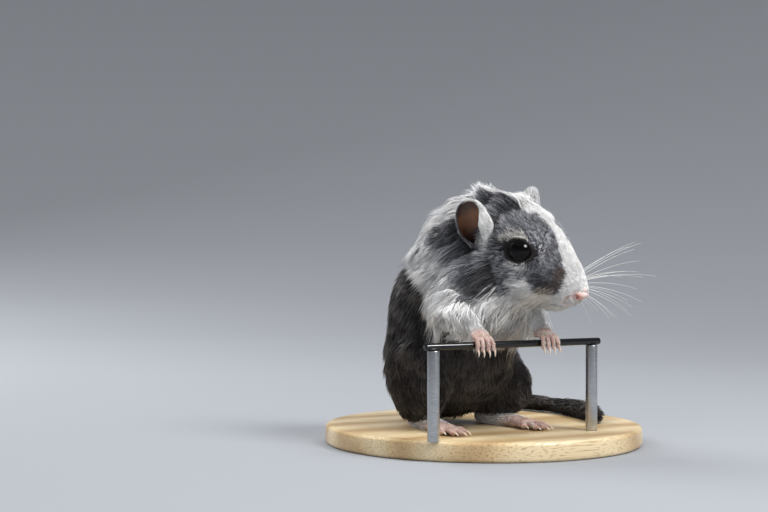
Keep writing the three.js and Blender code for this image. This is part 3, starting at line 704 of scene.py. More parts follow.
# %% Directions of the coat
NOSE_TIP = on_head((16.5, 0, -6.5))
NECK_MIDDLE, NECK_AHEAD = on_animal((2.4, 17, 49)), unit(np.array([0.3, -0.92, 0.12]))
DOWN, BACK = np.array([0, 0, -1.0]), np.array([0, 1.0, 0])
ARM_LINE = [(8.2, 21, 36.5), (10, 14.5, 36), (10.6, 9, 34.8), (9.9, 3.9, 32.2)]
LIMB_PATHS = {"arm_" + name: [(side * x, y, z) for x, y, z in ARM_LINE] for name, side in SIDES.items()}
LIMB_PATHS["tail"] = TAIL_PATH
PATH_STEPS = 8
# How much the coat sweeps back as it runs down the body, at heights in mm
BACK_LEVELS, BACK_SWEEP = [8, 15, 25, 40, 50, 60], [1.3, 0.5, 0.2, 0.4, 1.0, 1.7]


def along_path(points, part):
    """The direction of the nearest stretch of a part's path, and how far along it that is, from 0 to 1."""
    path = np.array([on_animal(p) for p in LIMB_PATHS[part]])
    parts_of_way = np.linspace(0, 1, PATH_STEPS, endpoint=False)[:, None]
    fine = np.concatenate([a + (b - a) * parts_of_way for a, b in zip(path[:-1], path[1:])] + [path[-1:]])
    way = unit(np.gradient(fine, axis=0))
    nearest = np.argmin(((points[:, None, :] - fine[None, :, :]) ** 2).sum(2), axis=1)
    return way[nearest], nearest / (len(fine) - 1)


def part_lies(points):
    """The coat's direction at each point, as each part of the body would have it."""
    q = in_head(points)
    cheek = smoothstep(0, -8, q[:, 0:1]) * smoothstep(3, 9, np.abs(q[:, 1:2]))
    out = points - NECK_MIDDLE
    out = unit(out - dot(out, NECK_AHEAD) * NECK_AHEAD)
    sweep = np.interp(points[:, 2], BACK_LEVELS, BACK_SWEEP)[:, None]
    lies = {"head": unit(unit(points - NOSE_TIP) + 0.5 * cheek * DOWN),
            "neck": unit(0.3 * out - 0.9 * NECK_AHEAD + 0.55 * DOWN),
            "torso": unit(DOWN + sweep * BACK)}
    for name, side in SIDES.items():
        lies["thigh_" + name] = unit(np.array([0.1 * side, -0.35, -0.9]))
        way, reach = along_path(points, "arm_" + name)
        hang = 1 - smoothstep(0.35, 0.8, reach)[:, None]
        lies["arm_" + name] = unit(way + hang * (unit(DOWN + 0.25 * NECK_AHEAD) - way))
    lies["tail"] = along_path(points, "tail")[0]
    return lies


def coat_lie(points, normals):
    """The parts' directions mixed by the soft shares, laid flat, smoothed and parted round the eyes."""
    lie = sum(share[part][:, None] * way for part, way in part_lies(points).items())
    lie = relax(lie - dot(lie, normals) * normals, edges, 12)
    for side in SIDES.values():
        far, openings, way = off_look(points, side)
        near = (1 - smoothstep(*LID_FADE, openings))[:, None] * (far < EYE_RANGE)[:, None]
        away = unit(way - dot(way, normals) * normals)
        lie = lie - near * np.minimum(dot(lie, away), 0) * away + 0.7 * near * away
    return unit(lie - dot(lie, normals) * normals)


skin_lie = coat_lie(skin, skin_normals)
print("coat lie set at", len(skin_lie), "points")

# %% [markdown]
# ## A map for the coat's colours
#
# A flat map is made for the coat's colours. The skin is unwrapped from its own shape, and each
# tuft takes a tiny patch of that map at the place of its root, so that skin and hair read the same part of
# it.

# %% Unwrap the skin
MAP_NAME = "OFBake"
TUFT_PATCH = 0.003


def unwrap(piece):
    """Lays a piece of four-cornered faces out flat, and gives back each corner's place on the map."""
    piece.data.uv_layers.new(name=MAP_NAME)
    bpy.context.view_layer.objects.active = piece
    piece.select_set(True)
    bpy.ops.object.mode_set(mode="EDIT")
    bpy.ops.mesh.select_all(action="SELECT")
    bpy.ops.uv.smart_project(angle_limit=math.radians(70), island_margin=0.002)
    bpy.ops.object.mode_set(mode="OBJECT")
    piece.select_set(False)
    places = np.empty(len(piece.data.loops) * 2, np.float32)
    piece.data.uv_layers[MAP_NAME].data.foreach_get("uv", places)
    return places.reshape(-1, 4, 2)


skin_piece = make_piece("skin", skin, skin_faces)
skin_uv = unwrap(skin_piece)
print("skin's map runs from", skin_uv.min((0, 1)).round(3), "to", skin_uv.max((0, 1)).round(3))

# %% Bare pink round the mouth and nose, painted shade in the ear canals, and dark skin in the lids
pink_lips = 0.75 * np.exp(-(mouth_gap / 0.8) ** 2) * smoothstep(11.5, 13.5, in_head(skin)[:, 0])
skin_marks["pink"] = np.maximum(pink_lips, 0.6 * (1 - smoothstep(1.1, 1.7, off_nose)))
# The ear canals are painted dark as the shade in their hollow; the eyes' corners and the skin under the lids
# are dark skin
canal_shade, under_lid = 1 - smoothstep(0.5, 1.0, canal_gap), 1 - smoothstep(1.08, 1.18, off_eye)
skin_marks["canal"] = np.max([canal_shade, eye_corner, under_lid], axis=0)
for kind, values in skin_marks.items():
    store(skin_piece.data, kind, values)
print("marks kept with the skin:", ", ".join(skin_marks))

# %% [markdown]
# ## Tufts
#
# Particle hair would be lost when the model leaves Blender, so every tuft is a solid sliver of three sides
# that narrows to a point. A real hair is about 0.03 mm thick, finer than the picture can show, so a tuft is
# 0.1 to 0.3 mm wide and stands for several hairs. A field of tufts is grown at once with arrays: roots are
# strewn over the skin, each tuft runs along the lie of the coat, hugs the skin below it at a height that
# grows towards the tip, and leans towards the tip of its clump, which is what parts a real coat into locks.

# %% The ground that tufts grow on
def make_ground(points, faces, normals, lie, corner_uv):
    """A surface as triangles, with their areas and map corners, and a tree for finding the nearest place."""
    picks = [[0, 1, 2], [0, 2, 3]] if faces.shape[1] == 4 else [[0, 1, 2]]
    tri = np.concatenate([faces[:, pick] for pick in picks])
    a, b, c = (points[tri[:, k]] for k in range(3))
    return {"points": points, "normals": normals, "lie": lie, "tri": tri,
            "tri_uv": np.concatenate([corner_uv[:, pick] for pick in picks]),
            "area": np.linalg.norm(np.cross(b - a, c - a), axis=1) / 2,
            "tree": BVHTree.FromPolygons(points.tolist(), faces.tolist())}


def strew(ground, per_square_mm):
    """Roots over the ground, as many to each square mm as 'per_square_mm' says at each of its vertices."""
    tri = ground["tri"]
    wanted = ground["area"] * per_square_mm[tri].mean(1)
    total = np.cumsum(wanted)
    count = int(total[-1])
    picks = np.searchsorted(total, (np.arange(count) + rng.random(count)) * total[-1] / count)
    picks = np.minimum(picks, len(total) - 1)
    u, v = rng.random(count), rng.random(count)
    fold = u + v > 1
    u, v = np.where(fold, 1 - u, u), np.where(fold, 1 - v, v)
    mix = np.stack([1 - u - v, u, v], 1)
    where = tri[picks]

    def take(values):
        return (values[where] * (mix[:, :, None] if values.ndim == 2 else mix)).sum(1)

    return take, (ground["tri_uv"][picks] * mix[:, :, None]).sum(1)


body_ground = make_ground(skin, skin_faces, skin_normals, skin_lie, skin_uv)
print("skin area:", round(float(body_ground["area"].sum())), "square mm")


# %% Grow a field of tufts
def nearest_on(ground, points):
    """The nearest place on the ground to each point, and its direction outwards there."""
    places, ways = [], []
    for p in points.tolist():
        place, normal, _, _ = ground["tree"].find_nearest(p)
        places.append(place)
        ways.append(normal)
    return np.array(places), np.array(ways)


def clump_leads(roots, gap):
    """For each root, the index of the tuft that leads its clump; leads lie about 'gap' mm apart."""
    order = rng.permutation(len(roots))
    cells = {}
    leads = []
    for i in order:
        cell = tuple((roots[i] // gap).astype(int))
        if cell not in cells:
            cells[cell] = i
            leads.append(i)
    tree = KDTree(len(leads))
    for k, i in enumerate(leads):
        tree.insert(roots[i], k)
    tree.balance()
    leads = np.array(leads)
    return leads[[tree.find(p)[1] for p in roots.tolist()]]


# A tuft's rise and width at its steps from root to tip, for tufts of two and of three steps
HAIR_RISE = {2: [0, 0.66, 1], 3: [0, 0.5, 0.85, 1]}
HAIR_WIDTH = {2: [0.8, 1], 3: [0.7, 1, 0.75]}
# How much tufts differ from one another
LENGTH_RANGE, HEIGHT_RANGE, WIDTH_RANGE, PULL_RANGE = (0.75, 1.2), (0.55, 1.15), (0.7, 1.25), (0.7, 1.1)
RUFFLE_MM, SWELL_MM = 6.5, 5
ROOT_DEPTH = 0.25


def grow(ground, density, length, height, width, steps=2, clump=0.0, clump_gap=2.0, stray=0.22,
         droop=0.0, ruffle=0.25):
    """Tufts as arrays. density, length, height and width are given at the ground's vertices."""
    take, root_uv = strew(ground, density)
    roots, normals, lie = take(ground["points"]), unit(take(ground["normals"])), take(ground["lie"])
    long, high, wide = take(length), take(height), take(width)
    count = len(roots)
    side = unit(np.cross(normals, lie))
    turn = stray * rng.normal(size=count) + ruffle * ripple(roots, RUFFLE_MM, 0)
    lie = unit(lie) * np.cos(turn)[:, None] + side * np.sin(turn)[:, None]
    long = long * rng.uniform(*LENGTH_RANGE, count)
    high = high * rng.uniform(*HEIGHT_RANGE, count) * (1 + 0.25 * ripple(roots, SWELL_MM, 1))
    spine = [roots - ROOT_DEPTH * normals]
    for k in range(1, steps + 1):
        t = k / steps
        place, way = nearest_on(ground, roots + lie * (long * t)[:, None])
        way = unit(way + 0.4 * normals)
        place = place + way * (high * HAIR_RISE[steps][k])[:, None]
        place[:, 2] -= droop * long * t * t
        spine.append(place)
    lead = clump_leads(roots, clump_gap) if clump else np.arange(count)
    if clump:
        for k in range(1, steps + 1):
            pull = clump * (k / steps) ** 1.3 * rng.uniform(*PULL_RANGE, count)[:, None]
            aim = spine[k][lead] + 0.25 * (roots - roots[lead])
            spine[k] = spine[k] + pull * (aim - spine[k])
    return {"spine": spine, "normals": normals, "wide": wide * rng.uniform(*WIDTH_RANGE, count),
            "uv": root_uv, "roots": roots, "lead": lead, "take": take}


# %% Turn tufts into solid slivers
def slivers(tufts):
    """All tufts' points and faces, and for each point how far along its tuft it lies and its map place."""
    spine, normals, wide = tufts["spine"], tufts["normals"], tufts["wide"]
    count, steps = len(wide), len(spine) - 1
    rings, along, patch = [], [], []
    for k in range(steps):
        way = unit(spine[k + 1] - spine[max(k - 1, 0)])
        side = unit(np.cross(way, normals))
        up = np.cross(side, way)
        half = (wide * HAIR_WIDTH[steps][k] / 2)[:, None]
        rings += [spine[k] - side * half, spine[k] + up * half * 0.9, spine[k] + side * half]
        along += [k / steps] * 3
        patch += [(-0.5, k / steps - 0.5), (0, k / steps - 0.42), (0.5, k / steps - 0.5)]
    points = np.stack(rings + [spine[-1]], 1)
    along += [1.0]
    patch += [(0, 0.5)]
    faces = [(0, 1, 2)]
    for k in range(steps - 1):
        for j in range(3):
            a, b = 3 * k + j, 3 * k + (j + 1) % 3
            faces += [(a, a + 3, b), (b, a + 3, b + 3)]
    last = 3 * (steps - 1)
    faces += [(last + j, 3 * steps, last + (j + 1) % 3) for j in range(3)]
    each = points.shape[1]
    all_faces = (np.array(faces)[None] + each * np.arange(count)[:, None, None]).reshape(-1, 3)
    corner_uv = tufts["uv"][:, None] + TUFT_PATCH * np.array(patch)[None]
    return points.reshape(-1, 3), all_faces, np.tile(along, count), corner_uv.reshape(-1, 2)


# %% Make the pieces of a field of tufts
MOST_TRIANGLES = 190000
coat_triangles = {}


def coat_pieces(name, tufts, material, marks):
    """Makes the field's pieces, each small enough to travel, and stores what the material reads."""
    points, faces, along, uv = slivers(tufts)
    count = len(tufts["wide"])
    each, per_tuft = len(points) // count, len(faces) // count
    tint = rng.random(count)
    tint = 0.45 * tint + 0.55 * tint[tufts["lead"]]
    pieces = []
    parts = max(1, math.ceil(len(faces) / MOST_TRIANGLES))
    cuts = np.linspace(0, count, parts + 1).astype(int)
    for part, (start, stop) in enumerate(zip(cuts[:-1], cuts[1:])):
        rows = slice(start * each, stop * each)
        part_faces = faces[start * per_tuft:stop * per_tuft] - start * each
        label = name if parts == 1 else f"{name}_{part + 1}"
        piece = make_piece(label, points[rows], part_faces, material)
        layer = piece.data.uv_layers.new(name=MAP_NAME)
        layer.data.foreach_set("uv", uv[rows][part_faces.ravel()].astype(np.float32).ravel())
        store(piece.data, "along", along[rows])
        store(piece.data, "tint", np.repeat(tint[start:stop], each))
        for kind, values in marks.items():
            store(piece.data, kind, np.repeat(values[start:stop], each))
        pieces.append(piece)
    coat_triangles[name] = len(faces)
    print(f"{name}: {count} tufts, {len(faces)} triangles, {parts} pieces")
    return pieces


# %% [markdown]
# ## Materials: colour and nodes
#
# One function turns a picked sRGB colour into Blender's linear colour, one sets or links a node's sockets,
# and one adds a shader node with its settings and links. Everything else is written out, so each finish can
# be read from top to bottom.

# %% Colour and node helpers
def linear(hex_colour):
    channels = [int(hex_colour[i:i + 2], 16) / 255 for i in (1, 3, 5)]
    return [c / 12.92 if c <= 0.04045 else ((c + 0.055) / 1.055) ** 2.4 for c in channels] + [1]


def set_inputs(node, inputs):
    """Sets a node's sockets to values, and links those for which another node's output is given."""
    for key, value in inputs.items():
        if isinstance(value, bpy.types.NodeSocket):
            node.id_data.links.new(value, node.inputs[key])
        else:
            node.inputs[key].default_value = value


def add_node(tree, kind, settings=None, inputs=None):
    node = tree.nodes.new(kind)
    for key, value in (settings or {}).items():
        setattr(node, key, value)
    set_inputs(node, inputs or {})
    return node


def new_material(name):
    """A material with its node tree and its surface shader, whose sockets are then set or linked."""
    material = bpy.data.materials.new(name)
    material.use_nodes = True
    tree = material.node_tree
    return material, tree, tree.nodes["Principled BSDF"]


def set_ramp(node, stops):
    ramp = node.color_ramp
    while len(ramp.elements) < len(stops):
        ramp.elements.new(0.5)
    for element, (place, colour) in zip(ramp.elements, stops):
        element.position, element.color = place, linear(colour)
    return node.outputs["Color"]


# %% [markdown]
# ## Fur
#
# A gerbil's hair is dark at the root and pale towards the tip, and agouti hairs carry bands, which gives
# the slate patches their ticking. White hair is drawn greyer at its root as painted shade deep in the coat.
# Each hair is keratin: it has a soft broad gloss, and light that enters white fur comes out elsewhere, so
# white hair looks bright even in its own shade. The bands follow each tuft from root to tip, and a random
# number for each tuft makes some hairs darker than their neighbours.

# %% Fur of all markings
HAIR_BANDS = {
    # The white hair's greyer root is painted shade deep in the coat
    "white": [(0, "#d3d0ce"), (0.35, "#e9e7e5"), (1, "#fafaf9")],
    "slate": [(0, "#1f1f22"), (0.4, "#3f4045"), (0.72, "#72737b"), (1, "#afafb8")],
    "dark": [(0, "#131315"), (0.6, "#28282b"), (1, "#4d4d52")],
    "warm": [(0, "#241c1a"), (0.6, "#43352f"), (1, "#6f5f58")],
    "cream": [(0, "#7b7874"), (0.5, "#bdb8b1"), (1, "#ece8e2")],
    # The body's bands are its slate darkened, partly by painted shade
    "body": [(0, "#0a090a"), (0.5, "#191718"), (0.85, "#2c2928"), (1, "#433e3c")],
}
# How far a tuft's own number shifts its bands, and how dark and how bright it makes the tuft
BAND_SHIFT, DARKEST, TINT_SPREAD = 0.8, 0.8, 0.36


def coat_colour(tree, along):
    """Mixes the bands of each marking over the white, in the order of the marks."""
    bands = {}
    for kind, stops in HAIR_BANDS.items():
        bands[kind] = set_ramp(add_node(tree, "ShaderNodeValToRGB", inputs={"Fac": along}), stops)
    colour = bands["white"]
    for kind in MARK_ORDER:
        mark = add_node(tree, "ShaderNodeAttribute", {"attribute_name": kind})
        colour = add_node(tree, "ShaderNodeMix", {"data_type": "RGBA"},
                          {0: mark.outputs["Fac"], 6: colour, 7: bands[kind]}).outputs[2]
    return colour


def fur_material():
    """Keratin: a soft, broad gloss, and light that enters a pale hair comes out beside it."""
    material, tree, surface = new_material("gerbil_fur")
    along = add_node(tree, "ShaderNodeAttribute", {"attribute_name": "along"}).outputs["Fac"]
    tint = add_node(tree, "ShaderNodeAttribute", {"attribute_name": "tint"}).outputs["Fac"]
    shifted = add_node(tree, "ShaderNodeMath", {"operation": "MULTIPLY_ADD"},
                       {0: tint, 1: BAND_SHIFT, 2: -BAND_SHIFT / 2})
    banded = add_node(tree, "ShaderNodeMath", {"operation": "ADD", "use_clamp": True},
                      {0: along, 1: shifted.outputs[0]})
    value = add_node(tree, "ShaderNodeMath", {"operation": "MULTIPLY_ADD"},
                     {0: tint, 1: TINT_SPREAD, 2: DARKEST})
    tinted = add_node(tree, "ShaderNodeHueSaturation",
                      inputs={"Value": value.outputs[0], "Color": coat_colour(tree, banded.outputs[0])})
    set_inputs(surface, {
        "Base Color": tinted.outputs["Color"], "Roughness": 0.62, "Specular IOR Level": 0.25,
        "Sheen Weight": 0.12, "Sheen Roughness": 0.4,
        "Subsurface Weight": 0.35, "Subsurface Scale": 0.7 * MM, "Subsurface Radius": (1, 1, 1)})
    return material


FUR = fur_material()
print("fur's bands:", ", ".join(HAIR_BANDS))

# %% [markdown]
# ## Skin under the fur
#
# Between the hairs the skin shows the coat's own colour, darkened by the shade of the hair, with a pink
# cast where it is thin. The fine under-fur is too small for tufts, so a bump of short fibres stands for it.

# %% Skin under the fur
# Real under-fur is about 0.02 mm thick; it is drawn coarser, so that it shows
UNDERFUR_MM = 0.18
# How far along a hair the skin's colour is read: a root's dark band, partly painted shade under the hair
SKIN_BAND = 0.35


def skin_material():
    """Thin live skin under the coat: dry and matt, with a bump of short fibres."""
    material, tree, surface = new_material("furred_skin")
    depth = add_node(tree, "ShaderNodeValue")
    depth.outputs[0].default_value = SKIN_BAND
    place = add_node(tree, "ShaderNodeTexCoord").outputs["Object"]
    fibres = add_node(tree, "ShaderNodeTexNoise",
                      inputs={"Vector": place, "Scale": 1 / (UNDERFUR_MM * MM), "Detail": 2})
    grey = add_node(tree, "ShaderNodeValToRGB", inputs={"Fac": fibres.outputs["Fac"]})
    grey = set_ramp(grey, [(0.3, "#c4c4c4"), (0.6, "#ffffff")])
    colour = add_node(tree, "ShaderNodeMix", {"data_type": "RGBA", "blend_type": "MULTIPLY"},
                      {0: 1.0, 6: coat_colour(tree, depth.outputs[0]), 7: grey}).outputs[2]
    # The canal mark is painted shade in the ear canals, together with the lids' own dark skin
    for kind, bare in (("pink", "#b9857a"), ("canal", "#110b09")):
        mark = add_node(tree, "ShaderNodeAttribute", {"attribute_name": kind})
        colour = add_node(tree, "ShaderNodeMix", {"data_type": "RGBA"},
                          {0: mark.outputs["Fac"], 6: colour, 7: linear(bare)}).outputs[2]
    bump = add_node(tree, "ShaderNodeBump",
                    inputs={"Strength": 0.6, "Distance": 0.1 * MM, "Height": fibres.outputs["Fac"]})
    set_inputs(surface, {"Base Color": colour, "Normal": bump.outputs["Normal"], "Roughness": 0.8})
    return material


skin_piece.data.materials.append(skin_material())
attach(skin_piece, "root")
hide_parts("head", "neck", "torso", "arm_left", "arm_right", "thigh_left", "thigh_right",
            "tail_base", "tail_middle", "tail_end")
print("under-fur fibres of", UNDERFUR_MM, "mm")

# %% [markdown]
# ## The coat, field by field
#
# Each part of the body has its own hair: velvet-short on the muzzle, a few millimetres on the head, long
# and soft in the collar, dense on the back, and close on limbs and tail. Lengths, heights and widths are
# given at the skin's own vertices, so one field passes softly into the next.

# %% What a field of tufts needs
def body_marks(tufts):
    """A tuft's marks, read where most of it is seen, so that long hair carries no patch off its place."""
    shares = {part: tufts["take"](values) for part, values in share.items()}
    seen = tufts["spine"][-2]
    marks = markings(seen, trunk_share(tufts["roots"], shares))
    # Grey streaks in the collar: partly the coat's own grey strands, partly painted shade that dims the white
    # ruff
    grey_streaks_and_shade = 0.58 * smoothstep(-0.1, 0.8, ripple(seen, 4.2, 2)) * shares["neck"]
    grey_streaks_and_shade = grey_streaks_and_shade * smoothstep(2, -8, in_head(seen)[:, 0])
    marks["slate"] = np.maximum(marks["slate"], grey_streaks_and_shade)
    draw = 0.5 * (rng.random(len(tufts["wide"])) - 0.5)
    return {kind: smoothstep(0.25, 0.75, values + draw) for kind, values in marks.items()}


def field(name, ground, marks_of, per_mm, length, height, width, weight, slot, **habits):
    """A field of tufts, 'per_mm' to a square mm where its weight is 1; single numbers hold all over it."""
    everywhere = np.ones(len(ground["points"]))
    tufts = grow(ground, per_mm * weight, length * everywhere, height * everywhere, width * everywhere,
                 **habits)
    for piece in coat_pieces(name, tufts, FUR, marks_of(tufts)):
        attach(piece, "root")


def soft_part(amount):
    """The weight of a field that fades out over the edge of its part."""
    return smoothstep(0.2, 0.6, amount)


# %% Head
head_q = in_head(skin)
ahead = head_q[:, 0]
crown = crown_share(skin)
chin = smoothstep(-7, -12, head_q[:, 2]) * smoothstep(14, 10, ahead)
haired = (smoothstep(1.04, 1.14, off_eye) * smoothstep(0.92, 1.12, off_nose)
          * smoothstep(0.45, 0.85, mouth_gap) * smoothstep(0.7, 1.0, canal_gap)
          * (1 - smoothstep(0.2, 0.6, eye_corner)))
on_face = smoothstep(0.25, 0.6, share["head"]) * haired
face_length = np.interp(ahead, [-14, -4, 6, 12, 16], [4.4, 3.4, 2.5, 1.7, 1.2]) + 1.8 * chin
face_length = face_length * (0.3 + 0.7 * smoothstep(1.05, 2.0, off_eye)) + 2.5 * crown
face_height = np.maximum(skin_depth, 0.35) * np.interp(ahead, [4, 12], [1.05, 0.8]) + 0.7 * chin
field("fur_head", body_ground, body_marks, per_mm=np.interp(ahead, [4, 12], [25, 42]),
      length=face_length, height=face_height + 0.8 * crown, width=np.interp(ahead, [4, 12], [0.16, 0.12]),
      weight=on_face * (1 - 0.8 * smoothstep(0.3, 0.7, crown)), slot="slate_coat",
      clump=0.42, clump_gap=0.85, stray=0.16, ruffle=0.2)

# %% Crown, with its upright tuft
tuft_stand = soft_mark(head_q, (-13.6, -3, 9), (3.6, 3.2, 5))
field("fur_crown", body_ground, body_marks, per_mm=20, length=6.5 - tuft_stand,
      height=2.4 + 4.6 * tuft_stand, width=0.19, weight=on_face * soft_part(crown), slot="slate_coat",
      steps=3, clump=0.6, clump_gap=1.5)


# %% Collar, which also covers the shoulders
def reach_along(*parts):
    """How far along its part's path each bit of the parts' skin lies, from 0 to 1."""
    reach = np.zeros(len(skin))
    for part in parts:
        near = share[part] > 0.05
        reach[near] = along_path(skin[near], part)[1]
    return reach


arms, arm_reach = share["arm_left"] + share["arm_right"], reach_along("arm_left", "arm_right")
shoulder = arms * (1 - smoothstep(0.5, 0.85, arm_reach))
collar = np.clip(share["neck"] + shoulder, 0, 1)
under_arm = smoothstep(0, -0.6, skin_normals[:, 2]) * smoothstep(0.1, 0.5, arms)
collar_length = 9.5 + 1.5 * arm_crease - shoulder * np.interp(arm_reach, [0, 0.4, 0.8], [0.5, 2.5, 5.5])
collar_height = (4.2 + 1.2 * crown + 0.9 * arm_crease) * (1 - 0.5 * under_arm)
collar_height = collar_height * (0.45 + 0.55 * smoothstep(0.4, 0.95, collar))
collar_height = collar_height * (1 - shoulder * np.interp(arm_reach, [0.1, 0.8], [0.1, 0.6]))
field("fur_collar", body_ground, body_marks, per_mm=14, length=collar_length * (1 - 0.6 * under_arm),
      height=collar_height, width=0.24, weight=soft_part(collar) * haired, slot="white_coat",
      steps=3, clump=0.65, clump_gap=2.4, droop=0.12)

# %% Trunk, thighs, arms and tail
thighs = share["thigh_left"] + share["thigh_right"]
field("fur_trunk", body_ground, body_marks, per_mm=7, length=7, height=2.4, width=0.33,
      weight=soft_part(share["torso"]), slot="dark_coat", clump=0.45, clump_gap=2.2)
field("fur_thighs", body_ground, body_marks, per_mm=7.5, length=5.5, height=2.1, width=0.32,
      weight=soft_part(thighs), slot="dark_coat", clump=0.4, clump_gap=2.2)
field("fur_arms", body_ground, body_marks, per_mm=18, length=3.6, height=1.2, width=0.18,
      weight=soft_part(arms - shoulder), slot="white_coat", clump=0.3, clump_gap=1.4)
tail_reach = reach_along("tail")
field("fur_tail", body_ground, body_marks, per_mm=7,
      length=np.interp(tail_reach, [0, 0.7, 0.85, 1], [3.6, 3.6, 8, 9]),
      height=np.interp(tail_reach, [0, 0.7, 0.85, 1], [0.9, 0.9, 1.8, 2.2]), width=0.26,
      weight=soft_part(share["tail"]), slot="tail_coat", clump=0.2)

# %% [markdown]
# ## Eyes and lids
#
# A gerbil's eye is a large black bead that stands out of the head. A taxidermist sets a glass eye and works
# the lids over it. The ball is a stack of rings round the line of sight with a slight bulge for the cornea.
# Each lid ring is a small closed section carried round the almond opening, dark and damp at its edge.

# %% Eyeballs
EYE_SIDES, EYE_RINGS = 64, 48
CORNEA_RISE, CORNEA_HALF = 0.2, 0.6


def eye_rings(side, angles, radii):
    """Rings round the eye's look at given angles off it and distances from its middle."""
    ahead, up, out = eye_axes(side)
    around = np.linspace(0, 2 * math.pi, EYE_SIDES, endpoint=False)
    flat = np.outer(np.cos(around), ahead) + np.outer(np.sin(around), up)
    return [eye_middle(side) + r * (math.cos(a) * out + math.sin(a) * flat) for a, r in zip(angles, radii)]


def eye_material():
    """A wet black bead: one sharp reflection, over a trace of brown towards its edge."""
    material, tree, surface = new_material("wet_black_eye")
    off = add_node(tree, "ShaderNodeAttribute", {"attribute_name": "off_look"})
    ramp = add_node(tree, "ShaderNodeValToRGB", inputs={"Fac": off.outputs["Fac"]})
    stops = [(0, "#040404"), (0.25, "#050404"), (0.42, "#120a07"), (0.6, "#1a0f0a")]
    set_inputs(surface, {"Base Color": set_ramp(ramp, stops), "Roughness": 0.03, "IOR": 1.38,
                         "Specular IOR Level": 0.3})
    return material


EYE = eye_material()
for name, side in SIDES.items():
    angles = np.linspace(0.02, math.pi - 0.02, EYE_RINGS)
    radii = EYE_RADIUS + CORNEA_RISE * np.exp(-(angles / CORNEA_HALF) ** 2)
    points, faces = closed_stack(eye_rings(side, angles, radii))
    ball = make_piece("eyeball_" + name, points, faces, EYE)
    store(ball.data, "off_look", np.append(np.repeat(angles, EYE_SIDES), (0, math.pi)) / math.pi)
    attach(ball, "root")
    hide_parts("eye_" + name)
print("eyeballs of", 2 * EYE_RADIUS, "mm")

# %% Lids
# The lid's section: lid openings off the look, and height over the eyeball
LID_SECTION = [(0.95, -0.4), (0.965, 0.08), (0.99, 0.24), (1.03, 0.32), (1.08, 0.3), (1.12, 0.1),
               (1.1, -0.4)]
LID_STEPS = 120


def lid_piece(name, side, material):
    ahead, up, out = eye_axes(side)
    section = smooth_rows(LID_SECTION + LID_SECTION[:1], 3)[:-1]
    rows = []
    for angle in np.linspace(0, 2 * math.pi, LID_STEPS, endpoint=False):
        off = section[:, 0] * lid_angle(angle)
        flat = math.cos(angle) * ahead + math.sin(angle) * up
        way = np.outer(np.cos(off), out) + np.outer(np.sin(off), flat)
        rows.append(eye_middle(side) + way * (EYE_RADIUS + section[:, 1])[:, None])
    sides, j = len(section), np.arange(len(section))
    faces = []
    for i in range(LID_STEPS):
        a, b = i * sides, (i + 1) % LID_STEPS * sides
        faces.append(np.stack([a + j, a + (j + 1) % sides, b + (j + 1) % sides, b + j], 1))
    faces = np.concatenate(faces)
    piece = make_piece("lids_" + name, np.concatenate(rows), faces if side > 0 else faces[:, ::-1], material)
    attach(piece, "root")


def lid_material():
    """Bare black skin round the eye, damp, with creases 0.25 mm apart that blur its gloss."""
    material, tree, surface = new_material("damp_lid_skin")
    place = add_node(tree, "ShaderNodeTexCoord").outputs["Object"]
    creases = add_node(tree, "ShaderNodeTexNoise",
                       inputs={"Vector": place, "Scale": 1 / (0.25 * MM), "Detail": 3})
    bump = add_node(tree, "ShaderNodeBump",
                    inputs={"Strength": 0.4, "Distance": 0.06 * MM, "Height": creases.outputs["Fac"]})
    ramp = add_node(tree, "ShaderNodeValToRGB", inputs={"Fac": creases.outputs["Fac"]})
    set_inputs(surface, {"Base Color": set_ramp(ramp, [(0.3, "#050303"), (0.7, "#0e0908")]),
                         "Normal": bump.outputs["Normal"], "Roughness": 0.5})
    return material


LID = lid_material()
for name, side in SIDES.items():
    lid_piece(name, side, LID)
print("lids open by", round(math.degrees(2 * LID_WIDE)), "and", round(math.degrees(2 * LID_TALL)), "degrees")

# %% [markdown]
# ## Ears
#
# A gerbil's ear is a thin cup of skin whose front edge rolls over its opening. Seen from above, its wall is
# one bent line: nearly closed round the canal at the root, a scoop with a rolled front edge half way up,
# and a shallow curve at the top. Three such lines are blended up the ear, and the wall gets a thickness
# that dies away at the rim. Its back and its rolled front edge carry short fur, and a few long hairs cross
# the opening.

# %% The ear's wall
# The wall from its back edge to its front edge, in mm to the front and out of the cup
EAR_ROOT_LINE = [(-1.0, 1.9), (-2.5, 0.4), (-1.8, -1.7), (0.4, -2.3), (2.3, -1.0), (2.4, 1.0), (1.0, 2.1)]
EAR_MIDDLE_LINE = [(-4.3, 0.5), (-3.5, -1.5), (-1.2, -2.7), (1.6, -2.4), (3.7, -0.7), (4.0, 1.3), (1.5, 2.1)]
EAR_TOP_LINE = [(-4.1, -0.4), (-3.1, -1.2), (-1.2, -1.7), (0.8, -1.7), (2.6, -1.3), (3.7, -0.7), (4.2, 0.2)]
EAR_HEIGHT, EAR_DEPTH = 10.3, 3.0
EAR_LEVELS, EAR_STEPS = 40, 9
EAR_WALL_ROOT, EAR_WALL_TOP, EAR_RIM = 0.6, 0.3, 0.07


